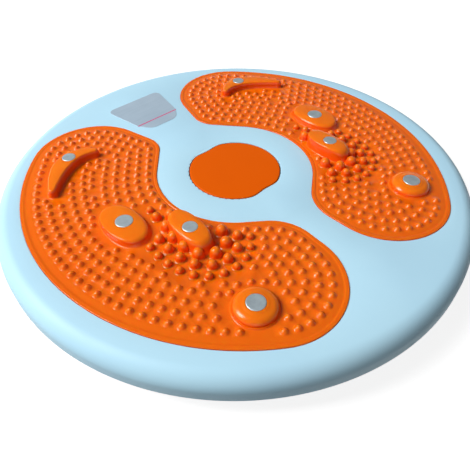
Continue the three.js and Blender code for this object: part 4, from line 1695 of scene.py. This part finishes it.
@dataclass
class Base:
    """The base: a plate with a rounded edge, a low rim, a hub and six sockets with rubber feet."""

    finish: bpy.types.Material
    rubber: bpy.types.Material
    radius: float
    bottom: float
    rim_top: float
    floor: float = 2.8 * MM
    wall: float = 2.8 * MM
    edge: float = 4.0 * MM
    hub_radius: float = 14.0 * MM
    hub_top: float = 11.0 * MM
    head_recess: float = 9.35 * MM
    head_depth: float = 4.0 * MM
    bolt_hole: float = 4.2 * MM
    foot_count: int = 6
    foot_radius: float = 11.0 * MM
    foot_gap: float = 0.2 * MM
    foot_sunk: float = 1.5 * MM
    foot_ring: float = 103.0 * MM
    flat_margin: float = 2.0 * MM
    floor_margin: float = 4.0 * MM
    rim_round: float = 0.6 * MM
    recess_round: float = 0.4 * MM
    tread_dish: tuple[Pair, ...] = ((0.0, 0.4 * MM), (2.0 * MM, 0.4 * MM), (2.4 * MM, 0.0))
    tread_rings: Pair = (0.38, 0.62)
    tread_groove: float = 0.5 * MM
    tread_round: float = 1.2 * MM
    tread_back: float = 0.3 * MM
    socket_steps: int = 48
    hub_steps: int = 96
    steps: int = 216

    def foot_places(self) -> list[Pair]:
        """Gives the middles of the feet, evenly turned."""
        places = circle(self.foot_ring, self.foot_count)
        return [(float(x), float(y)) for x, y in places]

    def build(self) -> None:
        """Builds the plate and its feet."""
        plate = self.plate()
        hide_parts("base_plate")
        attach(plate, Body.BASE.value)
        for number, place in enumerate(self.foot_places(), start=1):
            foot = self.foot(number, place)
            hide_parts(f"rubber_foot_{number}")
            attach(foot, Body.BASE.value)

    def plate(self) -> bpy.types.Object:
        """Builds the plate: edge and rim are turned, and the underside is flat between sockets.

        Returns:
            The plate.
        """
        lip = self.rim_round
        bend, bend_level = self.radius - self.edge, self.bottom + self.edge
        flat, floor_edge = bend - self.flat_margin, bend - self.floor_margin
        floor_top = self.bottom + self.floor
        inner = self.radius - self.wall
        skin = Skin()
        skin.grids(turned([
            (flat, self.bottom),
            *round_corner((bend, bend_level), self.edge, -90, 0, 12),
            *round_corner((self.radius - lip, self.rim_top - lip), lip, 0, 90, 4),
            *round_corner((inner + lip, self.rim_top - lip), lip, 90, 180, 4),
            (inner, bend_level), (bend, floor_top), (floor_edge, floor_top),
        ], self.steps))
        mouth = self.head_recess + self.recess_round
        recess_top = self.bottom + self.head_depth
        skin.grids(turned([
            (mouth, self.bottom),
            *round_corner((mouth, self.bottom + self.recess_round), self.recess_round, 270, 180, 3),
            (self.head_recess, recess_top), (self.bolt_hole, recess_top), (self.bolt_hole, self.hub_top),
            (self.hub_radius - lip, self.hub_top), (self.hub_radius, self.hub_top - lip),
            (self.hub_radius, floor_top),
        ], self.hub_steps))
        places = self.foot_places()
        sockets = [circle(self.foot_radius + self.foot_gap, self.socket_steps, place) for place in places]
        skin.plane(circle(flat, self.steps), [circle(mouth, self.hub_steps), *sockets], self.bottom)
        skin.plane(circle(floor_edge, self.steps), [circle(self.hub_radius, self.hub_steps)], floor_top)
        for socket, place in zip(sockets, places):
            skin.socket(socket, place, self.bottom, self.bottom + self.foot_sunk)
        return skin.build("base_shell", self.finish)

    def foot(self, number: int, place: Pair) -> bpy.types.Object:
        """Builds a rubber foot: a turned puck with a rounded tread and two ring grooves.

        Args:
            number: Number of the foot.
            place: Its middle.

        Returns:
            The foot.
        """
        top = self.bottom + self.foot_sunk - self.foot_gap
        radius, groove, rounding = self.foot_radius, self.tread_groove, self.tread_round
        grooves = [
            (radius * reach + groove * across, groove * depth) for reach in self.tread_rings
            for across, depth in ((-1, 0), (-0.6, 1), (0.6, 1), (1, 0))
        ]
        profile = [
            *self.tread_dish, *grooves, *round_corner((radius - rounding, rounding), rounding, -90, 0, 6),
            (radius, top - self.tread_back), (radius - self.tread_back, top), (0.0, top),
        ]
        return lathe(f"foot_pad_{number}", profile, 56, self.rubber, place)


@dataclass
class BallRace:
    """The race: two pressed rings, the cage and the balls, all between board and base."""

    steel: bpy.types.Material
    nylon: bpy.types.Material
    ball_count: int = 12
    pitch: float = 78.0 * MM
    cage_inner: float = 70.75 * MM
    sheet: float = 1.5 * MM
    groove: float = 4.85 * MM

    def build(self) -> None:
        """Replaces the rings and balls with smooth ones and dresses the cage."""
        for node, up in (("lower_race", -1), ("upper_race", 1)):
            self.ring(node, up)
        for number in range(1, self.ball_count + 1):
            self.ball(f"ball_{number:02d}")
        dress("ball_cage", self.nylon)

    def ring(self, node: str, up: int) -> None:
        """Builds a race ring: a flange on both sides of a groove, pressed from one sheet.

        Args:
            node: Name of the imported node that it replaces.
            up: 1 where it lies over the balls and -1 where it lies under them.
        """
        low, high = box_of(node)
        ball_low, ball_high = box_of("ball_01")
        level = (ball_low[2] + ball_high[2]) / 2
        pitch = (box_of("ball_cage")[1][0] + self.cage_inner) / 2
        reach = high[0] - pitch
        front = abs((low[2] if up > 0 else high[2]) - level)
        back = front + self.sheet
        open_angle = math.degrees(math.asin(front / self.groove))
        back_angle = math.degrees(math.asin(back / (self.groove + self.sheet)))
        profile = [
            (pitch + reach, front),
            *round_corner((pitch, 0), self.groove, open_angle, 180 - open_angle, 14),
            (pitch - reach, front), (pitch - reach, back),
            *round_corner((pitch, 0), self.groove + self.sheet, 180 - back_angle, back_angle, 14),
            (pitch + reach, back),
        ]
        placed = [(radius, level + up * height) for radius, height in profile]
        piece = lathe(f"{node}_ring", placed, 180, self.steel)
        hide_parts(node)
        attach(piece, (Body.TURNTABLE if up > 0 else Body.BASE).value)

    def ball(self, node: str) -> None:
        """Builds a ball as a turned half circle.

        Args:
            node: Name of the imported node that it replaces.
        """
        low, high = box_of(node)
        centre = (low + high) / 2
        radius = (high[2] - low[2]) / 2
        half = round_corner((0.0, centre[2]), radius, -90, 90, 14)
        profile = [(0.0, half[0][1]), *half[1:-1], (0.0, half[-1][1])]
        angle = math.atan2(centre[1], centre[0])
        place = (self.pitch * math.cos(angle), self.pitch * math.sin(angle))
        piece = lathe(f"steel_{node}", profile, 24, self.steel, place)
        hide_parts(node)
        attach(piece, Body.BALL_RING.value)


def dress(node: str, material: bpy.types.Material) -> None:
    """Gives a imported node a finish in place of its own.

    Args:
        node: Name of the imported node.
        material: The finish.
    """
    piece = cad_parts[node]
    piece.data.materials.clear()
    piece.data.materials.append(material)


@dataclass
class Sticker:
    """The bare silver sticker between the toe ends of the pads: straight top, tapered sides and
    a rounded tongue towards the middle."""

    finish: bpy.types.Material
    board_top: float
    thickness: float = 0.14 * MM
    edge: float = 0.06 * MM
    lift: float = 0.01 * MM
    step: float = 0.8 * MM
    corners: tuple[Disc, ...] = (
        Disc(16.9 * MM, 106.6 * MM, 4.2 * MM), Disc(14.0 * MM, 81.4 * MM, 2.6 * MM),
        Disc(6.0 * MM, 79.6 * MM, 8.2 * MM),
    )

    def build(self) -> None:
        """Builds the sheet from a belt round the circles of its corners and tongue."""
        other_side = [Disc(-disc.x, disc.y, disc.radius) for disc in self.corners]
        outline = belt([*other_side, *reversed(self.corners)], self.step)
        low = self.board_top + self.lift
        high = low + self.thickness
        skin = Skin()
        levels = [(0.0, low), (0.0, high - self.edge), (self.edge, high)]
        skin.grids(np.stack([outline.ring(inset, height) for inset, height in levels]))
        skin.plane(outline.inset(0.0), [], low)
        skin.plane(outline.inset(self.edge), [], high)
        piece = skin.build("sticker", self.finish)
        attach(piece, Body.TURNTABLE.value)


@dataclass(frozen=True)
class Lamp:
    """A soft rectangular lamp: where it hangs, its width and height, and its power in watts."""

    name: str
    place: tuple[float, float, float]
    size: Pair
    watts: float


@dataclass(frozen=True)
class Studio:
    """Camera, lamps, floor and world.

    Angles are in degrees. The camera, and rays that are reflected or pass through, see white.
    """

    board_top: float
    look_at: Pair = (-38.225 * MM, -41.548 * MM)
    azimuth: float = -42.317
    elevation: float = 45.821
    roll: float = -0.573
    distance: float = 238.2 * MM
    focal_pixels: float = 453.478
    frame_pixels: float = 470.0
    sensor: float = 36.0
    lamps: tuple[Lamp, ...] = (
        Lamp("key_lamp", (-0.94, 0.74, 1.24), (0.7, 1.0), 37.8),
        Lamp("side_lamp", (-1.1, -1.1, 0.5), (1.0, 0.8), 1.8),
    )
    floor_size: float = 6.0
    floor_drop: float = 0.2 * MM
    floor_glow: float = 0.86
    paper: Colour = (0.1, 0.1, 0.1, 1.0)
    paper_fleck: Colour = (0.085, 0.085, 0.09, 1.0)
    seen_paper: Colour = (0.32, 0.32, 0.32, 1.0)
    sky: float = 0.11
    sky_tilt: float = 0.65
    sky_span: Pair = (-0.8, 0.8)
    fade_span: Pair = (0.08, 0.36)
    fade: Pair = (1.0, 0.22)
    white_rays: tuple[str, str, str] = ("Is Camera Ray", "Is Glossy Ray", "Is Transmission Ray")

    def build(self) -> None:
        """Sets up everything that isn't part of the disc."""
        self.camera()
        for lamp in self.lamps:
            self.lamp(lamp)
        self.floor()
        self.world()
        bpy.context.scene.view_settings.view_transform = "Standard"

    def camera(self) -> None:
        """Places the camera at the photograph's angle, looking at a place on the board's top."""
        turn, lift, roll = (math.radians(angle) for angle in (self.azimuth, self.elevation, self.roll))
        back = Vector((math.sin(turn) * math.cos(lift), -math.cos(turn) * math.cos(lift), math.sin(lift)))
        right = (-back).cross(Vector((0, 0, 1))).normalized()
        up = right.cross(-back)
        right, up = (right * math.cos(roll) + up * math.sin(roll),
                     up * math.cos(roll) - right * math.sin(roll))
        target = Vector((*self.look_at, self.board_top))
        lens = bpy.data.cameras.new("camera")
        lens.sensor_width = self.sensor
        lens.lens = self.focal_pixels / self.frame_pixels * self.sensor
        lens.clip_start = 1 * MM
        holder = bpy.data.objects.new("camera", lens)
        turned_axes = Matrix((right, up, back)).transposed().to_4x4()
        holder.matrix_world = Matrix.Translation(target + back * self.distance) @ turned_axes
        bpy.context.scene.collection.objects.link(holder)
        bpy.context.scene.camera = holder

    def lamp(self, lamp: Lamp) -> None:
        """Adds a lamp that looks at the disc.

        Args:
            lamp: The lamp.
        """
        light = bpy.data.lights.new(lamp.name, "AREA")
        light.shape = "RECTANGLE"
        light.size, light.size_y = lamp.size
        light.energy = lamp.watts
        holder = bpy.data.objects.new(lamp.name, light)
        aim = Vector((0, 0, self.board_top)) - Vector(lamp.place)
        holder.rotation_euler = aim.to_track_quat("-Z", "Y").to_euler()
        holder.location = lamp.place
        bpy.context.scene.collection.objects.link(holder)

    def seen(self, graph: Graph) -> Channel:
        """Gives 1 for the rays that see white and 0 for soft light."""
        camera, glossy, through = (
            graph.node("ShaderNodeLightPath", {}, {}, ray) for ray in self.white_rays)
        return graph.math("MINIMUM", camera + glossy + through, 1.0)

    def floor(self) -> None:
        """Lays a pale floor, which keeps the disc's shadow."""
        bpy.ops.mesh.primitive_plane_add(size=self.floor_size, location=(0, 0, -self.floor_drop))
        ground = bpy.context.object
        ground.name = "floor"
        graph = Graph("floor_paper")
        speckle = graph.noise(graph.place(), 60.0, 3.0).between(0.3, 0.7)
        seen = self.seen(graph)
        paper = graph.blend(speckle * 0.3, self.paper, self.paper_fleck)
        ground.data.materials.append(graph.finish(
            Base_Color=graph.blend(seen, paper, self.seen_paper),
            Roughness=0.95,
            Specular_IOR_Level=0.1,
            Emission_Color=(1.0, 1.0, 1.0, 1.0),
            Emission_Strength=seen * self.floor_glow,
        ))
        ground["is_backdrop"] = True

    def world(self) -> None:
        """Gives a dim sky for soft light, dimmer still at the right, and a white backdrop that fades
        upwards for the rays that see white."""
        graph = Graph("studio", world=True)
        heading = graph.node("ShaderNodeTexCoord", {}, {}, "Generated")
        ends = (self.sky * (1 + self.sky_tilt), self.sky * (1 - self.sky_tilt))
        soft_sky = graph.mapped(graph.axis(heading, "X"), self.sky_span, ends)
        backdrop = graph.mapped(graph.axis(heading, "Z"), self.fade_span, self.fade)
        bpy.context.scene.world = graph.finish(
            Color=(1.0, 1.0, 1.0, 1.0),
            Strength=graph.mapped(self.seen(graph), (0.0, 1.0), (soft_sky, backdrop)),
        )


def build_finishes(field_level: float) -> FinishSet:
    """Builds every finish of the disc.

    Args:
        field_level: Height of the pads' flat field, which the vinyl's tint follows.

    Returns:
        The finishes.
    """
    finishes = {
        "board": MouldedPlastic("board_plastic", srgb(186, 226, 244), srgb(178, 219, 240), 0.44, 0.2),
        # Pad colours: lighter tops as painted light, then painted shade for the low field and painted redder
        # shade for slanted faces.
        "pad": SoftVinyl("pad_vinyl_painted_shade", srgb(244, 122, 8), srgb(234, 102, 2), srgb(236, 80, 6), field_level),
        "cover": MouldedPlastic("cover_plastic", srgb(228, 94, 3), srgb(220, 87, 2), 0.4, 0.08),
        "magnet": SatinMetal("magnet_plating", srgb(216, 232, 240), srgb(180, 197, 206), 0.32, 0.85),
        "steel": SatinMetal("race_steel", srgb(205, 207, 210), srgb(165, 168, 172), 0.22),
        "base": MouldedPlastic("base_plastic", srgb(168, 196, 210), srgb(156, 186, 202), 0.45),
        "nylon": MouldedPlastic("natural_nylon", srgb(232, 228, 214), srgb(220, 214, 198), 0.5),
        "rubber": Rubber("foot_rubber", srgb(34, 35, 37), srgb(74, 74, 74)),
        "sticker": StickerFoil(
            "sticker_foil", srgb(186, 205, 221), srgb(158, 180, 198), srgb(206, 62, 122)),
    }
    return FinishSet(**{name: finish.build() for name, finish in finishes.items()})


def main() -> None:
    """Builds the disc's sub-assemblies in order, dresses what stays of the frame, and lights it."""
    logging.basicConfig(level=logging.INFO, format="%(name)s: %(message)s")
    _, board_high = box_of("top_disc")
    pad_low, _ = box_of("left_foot_pad")
    _, cover_high = box_of("centre_cover")
    base_low, base_high = box_of("base_plate")
    radius, top = float(board_high[0]), float(board_high[2])
    plan, cover_plan = PadPlan(radius), CoverPlan()
    finishes = build_finishes(top + FootPads.field_rise)
    Studio(top).build()
    Board(finishes.board, plan, cover_plan, radius, top).build()
    FootPads(finishes.pad, finishes.magnet, plan, radius, top, float(pad_low[2])).build()
    CentreCover(finishes.cover, cover_plan, float(cover_high[2])).build()
    Base(finishes.base, finishes.rubber, float(base_high[0]), float(base_low[2]), float(base_high[2])).build()
    BallRace(finishes.steel, finishes.nylon).build()
    for node in ("centre_bolt", "nut_washer", "lock_nut"):
        dress(node, finishes.steel)
    for node in ("thrust_washer", "hub_bush"):
        dress(node, finishes.nylon)
    Sticker(finishes.sticker, top).build()
    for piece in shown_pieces():
        log.info("%s: %d faces", piece.name, len(piece.data.polygons))


if __name__ == "__main__":
    main()
